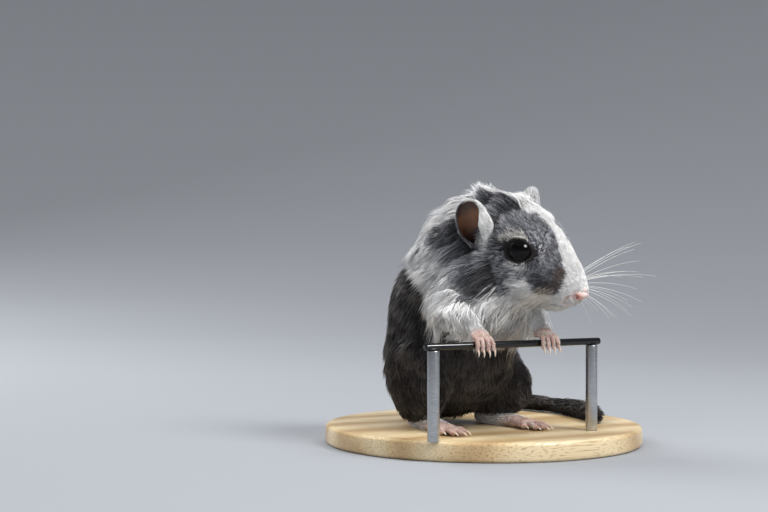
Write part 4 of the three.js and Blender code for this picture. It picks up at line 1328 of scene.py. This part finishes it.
def ear_shape(name):
    """The ear's points and faces, with how far each point lies inside, across and up."""
    root, front, rise, opening = ear_axes(name)
    up = 1 - (1 - np.linspace(0, 1, EAR_LEVELS)) ** 1.5
    lines = [smooth_rows(line, EAR_STEPS) for line in (EAR_ROOT_LINE, EAR_MIDDLE_LINE, EAR_TOP_LINE)]
    to_middle, to_top = smoothstep(0, 0.5, up)[:, None, None], smoothstep(0.45, 1, up)[:, None, None]
    line = lines[0] + to_middle * (lines[1] - lines[0])
    line = line + to_top * (lines[2] - line)
    line = line * np.sqrt(np.maximum(1 - up ** 6, 0.0004))[:, None, None]
    height = (EAR_HEIGHT + EAR_DEPTH) * up - EAR_DEPTH
    lean = 0.7 * np.sin(math.pi * up)
    middle = root + height[:, None] * rise + lean[:, None] * opening
    sheet = on_head(middle[:, None] + line[:, :, :1] * front + line[:, :, 1:] * opening)
    across = np.linspace(-1, 1, sheet.shape[1])
    normals = unit(np.cross(np.gradient(sheet, axis=1), np.gradient(sheet, axis=0)))
    if (normals[EAR_LEVELS // 2, len(across) // 2] * (opening @ HEAD_AXES)).sum() > 0:
        normals = -normals
    thick = (EAR_WALL_ROOT + (EAR_WALL_TOP - EAR_WALL_ROOT) * up)[:, None] * np.sqrt(1 - np.abs(across) ** 10)
    thick = (thick * np.sqrt(np.maximum(1 - up ** 12, 0))[:, None] + EAR_RIM)[:, :, None] / 2
    rings = np.concatenate([sheet + normals * thick, (sheet - normals * thick)[:, ::-1]], 1)
    points, faces = closed_stack(list(rings))
    inside = np.tile(np.repeat([0.0, 1.0], len(across)), EAR_LEVELS)
    along = np.tile(np.concatenate([across, across[::-1]]), EAR_LEVELS)
    level = np.repeat(up, 2 * len(across))
    values = {"inside": np.append(inside, (0, 0)), "across": np.append(along, (0, 0)),
              "up": np.append(level, (0, 1))}
    return points, faces, values


# %% Thin ear skin
def ear_material():
    """Thin live skin: brown and orange where light comes through, painted shade deep in the cup over the
    canal, pale at the rim.
    """
    material, tree, surface = new_material("thin_ear_skin")
    read = {kind: add_node(tree, "ShaderNodeAttribute", {"attribute_name": kind}).outputs["Fac"]
            for kind in ("inside", "across", "up")}
    place = add_node(tree, "ShaderNodeTexCoord").outputs["Object"]
    blotch = add_node(tree, "ShaderNodeTexNoise",
                      inputs={"Vector": place, "Scale": 1 / (1.6 * MM), "Detail": 4})
    shifted = add_node(tree, "ShaderNodeMath", {"operation": "MULTIPLY_ADD"},
                       {0: blotch.outputs["Fac"], 1: 0.3, 2: read["up"]})
    # The cup's darkest stops, low down over the canal, are painted shade
    cup = add_node(tree, "ShaderNodeValToRGB", inputs={"Fac": shifted.outputs[0]})
    cup = set_ramp(cup, [(0.3, "#120a08"), (0.5, "#352018"), (0.68, "#734a33"), (0.85, "#7f583b"),
                         (1, "#4c382d")])
    from_back = add_node(tree, "ShaderNodeMath", {"operation": "MULTIPLY_ADD"},
                         {0: read["across"], 1: 0.5, 2: 0.5})
    edge = add_node(tree, "ShaderNodeValToRGB", inputs={"Fac": from_back.outputs[0]})
    edge = set_ramp(edge, [(0, "#3f332d"), (0.12, "#b9b0a8"), (0.4, "#ffffff"), (1, "#ffffff")])
    cup = add_node(tree, "ShaderNodeMix", {"data_type": "RGBA", "blend_type": "MULTIPLY"},
                   {0: 1.0, 6: cup, 7: edge})
    outside = add_node(tree, "ShaderNodeValToRGB", inputs={"Fac": read["up"]})
    outside = set_ramp(outside, [(0.25, "#2b2323"), (0.6, "#8d7d76"), (1, "#b39c92")])
    colour = add_node(tree, "ShaderNodeMix", {"data_type": "RGBA"},
                      {0: read["inside"], 6: outside, 7: cup.outputs[2]})
    bump = add_node(tree, "ShaderNodeBump",
                    inputs={"Strength": 0.5, "Distance": 0.1 * MM, "Height": blotch.outputs["Fac"]})
    set_inputs(surface, {"Base Color": colour.outputs[2], "Normal": bump.outputs["Normal"],
                         "Roughness": 0.5, "Subsurface Weight": 0.25, "Subsurface Scale": 0.6 * MM})
    return material


# %% Ears and their fur
EAR_SKIN = ear_material()


def plain_marks(**levels):
    """Marks for hair away from the body's own patches; levels are arrays at the ground's vertices."""
    def marks_of(tufts):
        none = np.zeros(len(tufts["wide"]))
        return {kind: tufts["take"](levels[kind]) if kind in levels else none for kind in MARK_ORDER}
    return marks_of


for name in EARS:
    points, faces, values = ear_shape(name)
    ear = make_piece("ear_cup_" + name, points, faces, EAR_SKIN)
    for kind, numbers in values.items():
        store(ear.data, kind, numbers)
    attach(ear, "root")
    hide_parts("ear_" + name)
    root, front, rise, opening = ear_axes(name)
    inside, across, up = values["inside"], values["across"], values["up"]
    vertex_uv = np.stack([0.25 + 0.2 * across + 0.5 * inside, 0.05 + 0.9 * up], 1)
    normals = normals_of(points, faces)
    lie = np.broadcast_to((rise - 0.35 * front) @ HEAD_AXES, points.shape)
    lie = unit(lie - dot(lie, normals) * normals)
    ground = make_ground(points, faces, normals, lie, vertex_uv[faces])
    # The right ear is slate behind and white along its rolled front edge; the left is grey and turns white
    band = smoothstep(0.25, 0.5, across) if name == "right" else smoothstep(-0.9, 0.4, across)
    slate = 1 - band if name == "right" else np.maximum(1 - band, 0.45)
    outside = (1 - inside) * smoothstep(0.02, 0.15, up) * (1 - smoothstep(0.97, 1, up))
    field("fur_ear_back_" + name, ground, plain_marks(slate=slate, dark=0.6 * (1 - band)), per_mm=26,
          length=1.6 + 0.6 * band, height=0.4, width=0.15, weight=outside, slot="white_coat",
          clump=0.2, clump_gap=0.7)
    low_front = smoothstep(0.6, 0.35, up) * smoothstep(-0.2, 0.3, across)
    fringe = inside * smoothstep(0.15, 0.3, up) * (smoothstep(0.55, 0.9, across) + 0.3 * low_front)
    field("fur_ear_cup_" + name, ground, plain_marks(cream=np.full(len(points), 0.5)), per_mm=9,
          length=2.6, height=0.5, width=0.08, weight=fringe, slot="white_coat", steps=3, stray=0.5)

# %% [markdown]
# ## Nose
#
# The nose is a small moist pad, pink because this patch of skin has no pigment. Its nostrils are commas on
# its sides, and a cleft runs down its middle to the lip. The pad is an ellipsoid whose surface is pressed
# in at those places, and a red blush round each nostril, with painted shade darkening the nostrils and the
# cleft, is stored with the shape to colour it.

# %% Nose pad
NOSTRIL_WAY, NOSTRIL_TAIL = unit(np.array([0.16, 0.92, -0.34])), unit(np.array([0, 1, -0.02]))
NOSE_RINGS, NOSE_SIDES = 60, 90
HOLE_HALF, TAIL_HALF_WIDTH, BLUSH_HALF, CLEFT_HALF = 0.4, 0.22, 0.85, 0.1


def round_way(ways, middle, half):
    """1 where a direction meets 'middle', fading out over about 'half' radians."""
    return np.exp(-(np.arccos(np.clip(ways @ middle, -1, 1)) / half) ** 2)


def nose_pad():
    around = np.linspace(0, 2 * math.pi, NOSE_SIDES, endpoint=False)
    ones = np.ones(NOSE_SIDES)
    rings, nostril_red_and_shade = [], []
    for a in np.linspace(0.02, math.pi - 0.02, NOSE_RINGS):
        way = np.stack([math.cos(a) * ones, math.sin(a) * np.cos(around), math.sin(a) * np.sin(around)], 1)
        mirrored = way * np.stack([ones, np.sign(way[:, 1]), ones], 1)
        dent = np.maximum(round_way(mirrored, NOSTRIL_WAY, HOLE_HALF),
                          0.6 * round_way(mirrored, NOSTRIL_TAIL, TAIL_HALF_WIDTH))
        in_front_below = smoothstep(0.2, -0.4, way[:, 2]) * (way[:, 0] > 0)
        cleft = 0.4 * np.exp(-(way[:, 1] / CLEFT_HALF) ** 2) * in_front_below
        rings.append(NOSE_AT + way * NOSE_HALF * (1 - 0.42 * dent - 0.12 * cleft)[:, None])
        red = 0.66 * round_way(mirrored, NOSTRIL_WAY, BLUSH_HALF)
        # The red round each nostril is the skin's own; the dark in the nostrils and the cleft is painted
        # shade
        nostril_red_and_shade.append(np.max([dent, 0.5 * cleft, red], axis=0))
    points, faces = closed_stack([on_head(ring) for ring in rings])
    return points, faces, np.append(np.concatenate(nostril_red_and_shade), (0, 0))


def nose_material():
    """Moist bare skin without pigment, pebbled at 0.22 mm, redder towards the nostrils, with painted shade in
    them and the cleft.
    """
    material, tree, surface = new_material("moist_pink_nose")
    nostril_red_and_shade = add_node(tree, "ShaderNodeAttribute", {"attribute_name": "nostril_red_and_shade"}).outputs["Fac"]
    ramp = add_node(tree, "ShaderNodeValToRGB", inputs={"Fac": nostril_red_and_shade})
    place = add_node(tree, "ShaderNodeTexCoord").outputs["Object"]
    grain = add_node(tree, "ShaderNodeTexVoronoi", inputs={"Vector": place, "Scale": 1 / (0.22 * MM)})
    bump = add_node(tree, "ShaderNodeBump",
                    inputs={"Strength": 0.35, "Distance": 0.05 * MM, "Height": grain.outputs["Distance"]})
    # The darkest stops are painted shade in the nostrils
    stops = [(0, "#dcd0ca"), (0.25, "#c99f92"), (0.6, "#8d4230"), (0.95, "#34130d")]
    set_inputs(surface, {"Base Color": set_ramp(ramp, stops), "Normal": bump.outputs["Normal"],
                         "Roughness": 0.6, "Subsurface Weight": 0.12, "Subsurface Scale": 0.5 * MM})
    return material


points, faces, nostril_red_and_shade = nose_pad()
nose = make_piece("nose_pad", points, faces, nose_material())
store(nose.data, "nostril_red_and_shade", nostril_red_and_shade)
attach(nose, "root")
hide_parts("nose")
print("nose pad of", len(points), "points")

# %% [markdown]
# ## Whiskers
#
# Whiskers are stiff, tapered hairs in rows on the pads beside the nose. The animal holds those on its left
# forward and those on its right swept back. Each is a thin tube along a bent line, and all those of one
# side are joined in one piece.

# %% Whiskers
WHISKER_ROWS, WHISKERS_A_ROW = 6, 4
WHISKER_ROOT_RADIUS, WHISKER_TIP_RADIUS = 0.05, 0.012


def whisker(root, way, bend, length, thick):
    t = np.linspace(0, 1, 9)[:, None]
    line = root + length * (way * t + bend * t ** 2)
    radii = thick * (WHISKER_ROOT_RADIUS + (WHISKER_TIP_RADIUS - WHISKER_ROOT_RADIUS) * t)
    return tube(np.hstack([on_head(line), radii, radii]), hint=HEAD_AXES[2], sides=5, steps=2, dome=2)


def whisker_set(side):
    """Rows of whiskers from the top down, which point forward on the left and are swept back on the right."""
    parts = []
    for row in range(WHISKER_ROWS):
        for k in range(WHISKERS_A_ROW):
            wander, vary = 0.09 * rng.normal(size=3), rng.uniform(0.75, 1.1)
            if side > 0:
                root = np.array([12.6 - 1.2 * k, 2.6 + 0.75 * k, -5.2 - 0.75 * row - 0.1 * k])
                way = np.array([0.62 - 0.1 * k, 0.75, 0.5 - 0.22 * row + 0.1]) + wander
                bend, thick = np.array([-0.12, 0.1, -0.24]), 1
                length = np.interp(row, [0, 2, 5], [21, 23, 9]) * vary * (0.8 + 0.1 * k)
            else:
                root = np.array([11.2 - 1.2 * k, -4.6 - 0.35 * k, -7.2 - 0.5 * row])
                way = np.array([-0.15 - 0.05 * k, -0.85, -0.4 - 0.06 * row]) + 0.7 * wander
                bend, thick = np.array([-0.3, 0.22, -0.12]), 0.75
                length = np.interp(row, [0, 2, 5], [17, 19, 11]) * rng.uniform(0.7, 1.1)
            parts.append(whisker(root, unit(way), bend, length, thick))
    return join_arrays(parts)


def whisker_material(name, colours):
    """Clear keratin: pale and glossy, with a slow change of tone every 4 mm along it."""
    material, tree, surface = new_material(name)
    place = add_node(tree, "ShaderNodeTexCoord").outputs["Object"]
    tone = add_node(tree, "ShaderNodeTexNoise", inputs={"Vector": place, "Scale": 1 / (4 * MM)})
    ramp = add_node(tree, "ShaderNodeValToRGB", inputs={"Fac": tone.outputs["Fac"]})
    set_inputs(surface, {"Base Color": set_ramp(ramp, [(0.3, colours[0]), (0.7, colours[1])]),
                         "Roughness": 0.3})
    return material


WHISKER_COLOURS = {"left": ("#dfdcd6", "#f7f6f3"), "right": ("#9a8c78", "#d6cdbf")}
for name, side in SIDES.items():
    points, faces = whisker_set(side)
    keratin = whisker_material("keratin_whisker_" + name, WHISKER_COLOURS[name])
    piece = make_piece("whiskers_" + name, points, faces, keratin)
    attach(piece, "root")
    print("whiskers", name, "reach", points.min(0).round(1), points.max(0).round(1))

# %% [markdown]
# ## Hands, feet and claws
#
# Each hand and foot is a palm and its digits, made as tubes with knuckles and pads, melted together at a
# fine voxel and relaxed, so that the webs between the digits come by themselves. The claws are horn, and
# stay pieces of their own. Fine white hair covers the backs and thins out towards the claws.

# %% Shapes of hands and feet
# Rows of each limb's tubes: x, y, z, half width and half thickness
HAND_X, FOOT_X = 9.9, 10.6
FINGER_OFFSETS, FINGER_LENGTHS = [-2.15, -0.75, 0.7, 2.05], [0.86, 1, 1, 0.84]
TOE_OFFSETS, TOE_LENGTHS = [-2.5, -1.35, 0, 1.35, 2.5], [3.2, 6.4, 7.5, 6.6, 3.6]


def placed(rows):
    return [(*on_animal(row[:3]), row[3], row[4]) for row in rows]


def hand_parts(side):
    """The palm, the four fingers that bend over the wire and the thumb's stump, and the fingers' claws."""
    middle = side * HAND_X
    flesh_rows = [[(middle, 5.4, 32.9, 1.7, 1.5), (middle, 3.6, 31.9, 1.75, 1.45),
                   (middle, 2.2, 31.1, 2.2, 1.2), (middle, 0.9, 30.5, 2.6, 0.85)]]
    claws = []
    for offset, long in zip(FINGER_OFFSETS, FINGER_LENGTHS):
        x = middle + offset
        low = 28 - 1.15 * long
        flesh_rows.append([
            (middle + 0.85 * offset, 2.0, 30.6, 0.6, 0.6), (x, 0.5, 29.95, 0.58, 0.56),
            (x, -0.6, 29.5, 0.66, 0.62), (x + 0.04 * offset, -1.3, 28.9, 0.54, 0.52),
            (x + 0.08 * offset, -1.66, 28.1, 0.6, 0.56), (x + 0.1 * offset, -1.66, low + 0.35, 0.5, 0.48),
            (x + 0.12 * offset, -1.6, low, 0.54, 0.5)])
        claws.append([
            (x + 0.12 * offset, -1.75, low + 0.1, 0.3, 0.34),
            (x + 0.14 * offset, -2.25, low - 0.55, 0.25, 0.3),
            (x + 0.15 * offset, -2.4, low - 1.2, 0.16, 0.2),
            (x + 0.15 * offset, -2.25, low - 1.8, 0.05, 0.06)])
    thumb = middle - side * 2.5
    flesh_rows.append([(thumb + side * 0.5, 2.4, 30.9, 0.6, 0.6), (thumb, 1.5, 30.2, 0.5, 0.5),
                       (thumb - side * 0.1, 1.1, 29.8, 0.4, 0.4)])
    return [placed(rows) for rows in flesh_rows], [placed(rows) for rows in claws]


def foot_parts(side):
    """The long sole on the board, five toes that fan out, and their claws."""
    x = side * (FOOT_X + 2)
    flesh_rows = [[(side * FOOT_X, 31, 6.9, 2, 2), (side * 11.2, 24, 6.6, 2.2, 1.9),
                   (side * 12, 17, 6.4, 2.7, 1.6), (x, 11.5, 6.1, 3.2, 1.3)]]
    claws = []
    for offset, long in zip(TOE_OFFSETS, TOE_LENGTHS):
        fan = 0.3 * offset
        a = x + offset
        tip = 11.5 - long
        flesh_rows.append([
            (x + 0.9 * offset, 13, 6.1, 0.85, 0.85), (a + 0.3 * fan, 11.5 - 0.3 * long, 6.2, 0.8, 0.78),
            (a + 0.5 * fan, 11.5 - 0.55 * long, 6.25, 0.68, 0.66),
            (a + 0.8 * fan, tip + 1.9, 6.05, 0.7, 0.68), (a + fan, tip + 1.2, 5.75, 0.62, 0.58)])
        claws.append([
            (a + fan, tip + 1.2, 6.0, 0.34, 0.38), (a + 1.1 * fan, tip - 0.2, 6.0, 0.26, 0.3),
            (a + 1.15 * fan, tip - 0.8, 5.8, 0.17, 0.2), (a + 1.2 * fan, tip - 1.4, 5.5, 0.05, 0.06)])
    return [placed(rows) for rows in flesh_rows], [placed(rows) for rows in claws]


# %% Paw skin and horn
def bare_skin_material():
    """Thin pink skin with fine creases 0.3 mm apart; blood shows pinker in blotches of about 2 mm."""
    material, tree, surface = new_material("pink_paw_skin")
    place = add_node(tree, "ShaderNodeTexCoord").outputs["Object"]
    creases = add_node(tree, "ShaderNodeTexVoronoi", {"feature": "DISTANCE_TO_EDGE"},
                       {"Vector": place, "Scale": 1 / (0.3 * MM)})
    blotch = add_node(tree, "ShaderNodeTexNoise",
                      inputs={"Vector": place, "Scale": 1 / (1.8 * MM), "Detail": 3})
    ramp = add_node(tree, "ShaderNodeValToRGB", inputs={"Fac": blotch.outputs["Fac"]})
    bump = add_node(tree, "ShaderNodeBump",
                    inputs={"Strength": 0.5, "Distance": 0.08 * MM, "Height": creases.outputs["Distance"]})
    set_inputs(surface, {
        "Base Color": set_ramp(ramp, [(0.3, "#9c7b70"), (0.5, "#ae9085"), (0.7, "#c0aca1")]),
        "Normal": bump.outputs["Normal"], "Roughness": 0.5,
        "Subsurface Weight": 0.3, "Subsurface Scale": 0.8 * MM})
    return material


def claw_material():
    """Horn: pinkish where it grows out of the toe, pale and clear towards the point."""
    material, tree, surface = new_material("pale_horn")
    along = add_node(tree, "ShaderNodeAttribute", {"attribute_name": "along"}).outputs["Fac"]
    ramp = add_node(tree, "ShaderNodeValToRGB", inputs={"Fac": along})
    set_inputs(surface, {"Base Color": set_ramp(ramp, [(0, "#a97a68"), (0.4, "#cbb3a0"), (1, "#efe8db")]),
                         "Roughness": 0.28, "IOR": 1.55})
    return material


# %% Make the hands and feet
PAW_SKIN, HORN = bare_skin_material(), claw_material()
# 'lie' is the way of the fine hair; it grows in where the skin's facing towards 'back' passes between the
# two numbers of 'bare'
PAWS = {
    "hand": {"parts": hand_parts, "voxel": 0.15, "lie": (0, -0.8, -0.6), "back": (0, -0.5, 0.85),
             "bare": (-0.3, 0.3), "per_mm": 28, "length": 1.4},
    "foot": {"parts": foot_parts, "voxel": 0.22, "lie": (0, -1.0, -0.1), "back": (0, 0, 1),
             "bare": (-0.2, 0.5), "per_mm": 10, "length": 2.0},
}
CLAW_SIDES = 10


def paw_skin(kind, name, flesh_rows):
    plan = PAWS[kind]
    points, faces = fuse([tube(rows, steps=5, sides=24) for rows in flesh_rows], plan["voxel"])
    points = relax(points, edges_of(faces), 4)
    normals = normals_of(points, faces)
    piece = make_piece(f"{kind}_skin_{name}", points, faces, PAW_SKIN)
    corner_uv = unwrap(piece)
    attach(piece, "root")
    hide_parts(f"{kind}_{name}")
    toward = np.array(plan["lie"])
    ground = make_ground(points, faces, normals, unit(toward - dot(toward, normals) * normals), corner_uv)
    low, long = points[:, 1].min(), points[:, 1].max() - points[:, 1].min()
    wrist = smoothstep(low + 0.5 * long, low + 0.75 * long, points[:, 1])
    thin = 0.25 + 0.75 * smoothstep(low + 0.25 * long, low + 0.6 * long, points[:, 1])
    back = np.maximum(smoothstep(*plan["bare"], normals @ unit(np.array(plan["back"]))), wrist)
    field(f"fur_{kind}_{name}", ground, plain_marks(), per_mm=plan["per_mm"],
          length=plan["length"] * (thin + wrist), height=0.3 * thin + 0.05, width=0.1,
          weight=back * thin, slot="white_coat")


def paw_claws(kind, name, claw_rows):
    shapes = [tube(rows, sides=CLAW_SIDES, steps=4, dome=3) for rows in claw_rows]
    claws = make_piece(f"claws_{kind}_{name}", *join_arrays(shapes), HORN)
    along = np.repeat(np.linspace(0, 1, len(shapes[0][0]) // CLAW_SIDES), CLAW_SIDES)
    store(claws.data, "along", np.tile(np.append(along, (0, 1)), len(shapes)))
    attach(claws, "root")


for name, side in SIDES.items():
    for kind, plan in PAWS.items():
        flesh_rows, claw_rows = plan["parts"](side)
        paw_skin(kind, name, flesh_rows)
        paw_claws(kind, name, claw_rows)
print("coat triangles in all:", sum(coat_triangles.values()))

# %% [markdown]
# ## The stand
#
# The board is ash, turned oval with a rounded edge and a satin lacquer: straight grain with darker,
# open-pored rings. The rods are steel, brushed round their length, and the wire is steel under glossy black
# enamel, with its cut ends rounded over.

# %% Turned shapes for the stand
def oval_stack(middle, half_x, half_y, rows, sides=128):
    """Oval rings, each inset from the full outline by so much at such a height."""
    around = np.linspace(0, 2 * math.pi, sides, endpoint=False)
    return closed_stack([np.stack([middle[0] + (half_x - inset) * np.cos(around),
                                   middle[1] + (half_y - inset) * np.sin(around),
                                   np.full(sides, height)], 1) for inset, height in rows])


def rounded_edge(low, high, radius, steps=6):
    """Inset and height up the side of a board whose two edges are rounded."""
    turn = np.linspace(0, math.pi / 2, steps)
    under = [(radius * (1 - math.sin(t)), low + radius * (1 - math.cos(t))) for t in turn]
    over = [(radius * (1 - math.cos(t)), high - radius * (1 - math.sin(t))) for t in turn]
    return under + over


def node_size(node):
    low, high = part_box(node)
    low, high = np.array(low) / MM, np.array(high) / MM
    return low, high, (low + high) / 2, (high - low) / 2


# %% Ash board
def ash_material():
    """Lacquered ash, sawn flat: its growth rings show as soft bands along the board, with lines of pores."""
    material, tree, surface = new_material("lacquered_ash")
    place = add_node(tree, "ShaderNodeTexCoord").outputs["Object"]
    grown = add_node(tree, "ShaderNodeMapping", inputs={"Vector": place, "Scale": (0.08, 1, 1)})
    warp = add_node(tree, "ShaderNodeTexNoise",
                    inputs={"Vector": grown.outputs["Vector"], "Scale": 1 / (14 * MM)})
    # A wave node draws a band every 2 pi / 20 units, so these lie 2 pi * 2.5 mm, about 16 mm, apart
    rings = add_node(tree, "ShaderNodeTexWave", {"bands_direction": "Y"}, {
        "Vector": grown.outputs["Vector"], "Scale": 1 / (20 * 2.5 * MM), "Distortion": 7, "Detail": 2,
        "Detail Scale": 1.2, "Phase Offset": warp.outputs["Fac"]})
    drawn = add_node(tree, "ShaderNodeMapping", inputs={"Vector": place, "Scale": (0.04, 1, 1)})
    pores = add_node(tree, "ShaderNodeTexNoise",
                     inputs={"Vector": drawn.outputs["Vector"], "Scale": 1 / (0.35 * MM), "Detail": 2})
    wood = set_ramp(add_node(tree, "ShaderNodeValToRGB", inputs={"Fac": rings.outputs["Fac"]}),
                    [(0, "#b79a70"), (0.35, "#cbb186"), (1, "#dcc8a2")])
    dark = set_ramp(add_node(tree, "ShaderNodeValToRGB", inputs={"Fac": pores.outputs["Fac"]}),
                    [(0.36, "#9c8058"), (0.46, "#ffffff")])
    colour = add_node(tree, "ShaderNodeMix", {"data_type": "RGBA", "blend_type": "MULTIPLY"},
                      {0: 0.5, 6: wood, 7: dark})
    bump = add_node(tree, "ShaderNodeBump",
                    inputs={"Strength": 0.25, "Distance": 0.05 * MM, "Height": pores.outputs["Fac"]})
    set_inputs(surface, {"Base Color": colour.outputs[2], "Normal": bump.outputs["Normal"],
                         "Roughness": 0.42, "Coat Weight": 0.35, "Coat Roughness": 0.25})
    return material


BOARD_EDGE = 1.0
low, high, middle, half = node_size("stand_base")
points, faces = oval_stack(middle, half[0], half[1], rounded_edge(low[2], high[2], BOARD_EDGE))
board = make_piece("ash_board", points, faces, ash_material())
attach(board, "root")
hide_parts("stand_base")
print("board", (2 * half).round(1), "mm")

# %% Steel rods
def brushed_steel():
    """Stainless steel, brushed round: rings 0.15 mm apart, coarser than real ones so that they show."""
    material, tree, surface = new_material("brushed_stainless_steel")
    place = add_node(tree, "ShaderNodeTexCoord").outputs["Object"]
    flat = add_node(tree, "ShaderNodeMapping", inputs={"Vector": place, "Scale": (0.1, 0.1, 1)})
    lines = add_node(tree, "ShaderNodeTexNoise",
                     inputs={"Vector": flat.outputs["Vector"], "Scale": 1 / (0.15 * MM), "Detail": 3})
    ramp = add_node(tree, "ShaderNodeValToRGB", inputs={"Fac": lines.outputs["Fac"]})
    bump = add_node(tree, "ShaderNodeBump",
                    inputs={"Strength": 0.3, "Distance": 0.03 * MM, "Height": lines.outputs["Fac"]})
    set_inputs(surface, {"Base Color": set_ramp(ramp, [(0.3, "#a7a9ab"), (0.7, "#c9cacc")]),
                         "Normal": bump.outputs["Normal"], "Metallic": 1, "Roughness": 0.3})
    return material


# The rods run a little into the board and into the wire, as if set in holes
STEEL = brushed_steel()
ROD_SET_IN, ROD_EDGE = 0.3, 0.2
for name in SIDES:
    low, high, middle, half = node_size("stand_rod_" + name)
    edge = rounded_edge(low[2] - ROD_SET_IN, high[2] + ROD_SET_IN, ROD_EDGE, 4)
    points, faces = oval_stack(middle, half[0], half[0], edge, 48)
    rod = make_piece("steel_rod_" + name, points, faces, STEEL)
    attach(rod, "root")
    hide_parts("stand_rod_" + name)
print("rods", round(float(2 * half[0]), 1), "mm thick")

# %% Enamelled wire
def black_enamel():
    """Glossy stove enamel over steel wire, with a faint orange-peel ripple about 0.8 mm long."""
    material, tree, surface = new_material("black_enamel")
    place = add_node(tree, "ShaderNodeTexCoord").outputs["Object"]
    peel = add_node(tree, "ShaderNodeTexNoise",
                    inputs={"Vector": place, "Scale": 1 / (0.8 * MM), "Detail": 1})
    bump = add_node(tree, "ShaderNodeBump",
                    inputs={"Strength": 0.15, "Distance": 0.04 * MM, "Height": peel.outputs["Fac"]})
    ramp = add_node(tree, "ShaderNodeValToRGB", inputs={"Fac": peel.outputs["Fac"]})
    set_inputs(surface, {"Base Color": set_ramp(ramp, [(0.3, "#0c0c0e"), (0.7, "#121214")]),
                         "Normal": bump.outputs["Normal"], "Roughness": 0.16})
    return material


# The wire is turned upright, as the rods are, and then laid along x
WIRE_EDGE = 0.4
low, high, middle, half = node_size("stand_wire")
points, faces = oval_stack((0, 0), half[2], half[2], rounded_edge(low[0], high[0], WIRE_EDGE, 5), 40)
points = np.stack([points[:, 2], middle[1] + points[:, 0], middle[2] - points[:, 1]], 1)
wire = make_piece("enamelled_wire", points, faces, black_enamel())
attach(wire, "root")
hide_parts("stand_wire")
print("wire", round(float(2 * half[0]), 1), "mm long and", round(float(2 * half[2]), 2), "mm thick")

# %% [markdown]
# ## The studio
#
# A museum photographs its models on a seamless sweep: one sheet of pale grey paper that lies flat under the
# object and curls up behind it, so that no edge shows. Here the sheet is turned round the object, because
# it is looked at from all sides. The main light is a soft disc at the front, which also puts one round
# glint in each eye. A large weak panel opposite and one overhead fill its shadows, and a panel behind
# lights the hair's outline.

# %% The sweep
SWEEP_FLAT, SWEEP_REACH, SWEEP_HEIGHT = 350, 1500, 1600
SWEEP_SIDES, SWEEP_STEPS = 96, 16


def sweep_rows():
    """Radius and height of the sheet from its middle outwards."""
    turn = np.linspace(0, math.pi / 2, SWEEP_STEPS)
    bend = SWEEP_REACH - SWEEP_FLAT
    rows = [(1, 0), (200, 0)]
    rows += [(SWEEP_FLAT + bend * math.sin(t), bend * (1 - math.cos(t))) for t in turn]
    return rows + [(SWEEP_REACH, SWEEP_HEIGHT)]


def matt_paper():
    """Uncoated paper: it scatters light evenly, with a faint grain 1.5 mm long."""
    material, tree, surface = new_material("matt_paper")
    place = add_node(tree, "ShaderNodeTexCoord").outputs["Object"]
    grain = add_node(tree, "ShaderNodeTexNoise",
                     inputs={"Vector": place, "Scale": 1 / (1.5 * MM), "Detail": 2})
    bump = add_node(tree, "ShaderNodeBump",
                    inputs={"Strength": 0.1, "Distance": 0.1 * MM, "Height": grain.outputs["Fac"]})
    set_inputs(surface, {"Base Color": linear("#95989d"), "Normal": bump.outputs["Normal"], "Roughness": 0.9})
    return material


def make_sweep():
    material = matt_paper()
    around = np.linspace(0, 2 * math.pi, SWEEP_SIDES, endpoint=False)
    rows = sweep_rows()
    points = np.concatenate([np.stack([r * np.cos(around), r * np.sin(around), np.full(SWEEP_SIDES, h)], 1)
                             for r, h in rows])
    j = np.arange(SWEEP_SIDES)
    nxt = (j + 1) % SWEEP_SIDES
    faces = np.concatenate([np.stack([i + j, i + nxt, i + SWEEP_SIDES + nxt, i + SWEEP_SIDES + j], 1)
                            for i in SWEEP_SIDES * np.arange(len(rows) - 1)])
    middle = np.stack([j[1:-1] * 0, j[2:], j[1:-1]], 1)
    faces = np.concatenate([faces[:, :3], faces[:, [0, 2, 3]], middle])
    make_piece("paper_sweep", points, faces[:, ::-1], material)


make_sweep()
print("sweep of", 2 * SWEEP_REACH, "mm across")

# %% The lamps and the room
# Each lamp's way from the head, its distance and size in mm, its power and its shape
LAMPS = {"key_disc": ((0.29, -0.71, 0.65), 600, 240, 4.0, "DISK"),
         "fill_panel": ((-0.75, -0.55, 0.3), 700, 520, 1.6, "SQUARE"),
         "rim_panel": ((-0.35, 0.8, 0.55), 600, 360, 3.0, "SQUARE"),
         "ceiling_panel": ((0, 0, 1), 1200, 1300, 11, "SQUARE")}


def make_lamp(name, way, far, size, power, shape):
    """A lamp that looks at the head; only the key shows in glossy things, so each eye has one glint."""
    data = bpy.data.lights.new(name, "AREA")
    data.shape, data.size, data.energy = shape, size * MM, power
    lamp = bpy.data.objects.new(name, data)
    bpy.context.scene.collection.objects.link(lamp)
    lamp.location = Vector((HEAD_PLACE + far * unit(np.array(way))) * MM)
    lamp.rotation_euler = (Vector(HEAD_PLACE * MM) - lamp.location).to_track_quat("-Z", "Y").to_euler()
    lamp.visible_glossy = name == "key_disc"


for name, lamp in LAMPS.items():
    make_lamp(name, *lamp)
world = bpy.data.worlds.new("studio")
world.use_nodes = True
set_inputs(world.node_tree.nodes["Background"], {"Color": linear("#dfe3e8"), "Strength": 0.35})
bpy.context.scene.world = world
bpy.context.scene.view_settings.view_transform = "Standard"
print("lamps:", ", ".join(LAMPS))
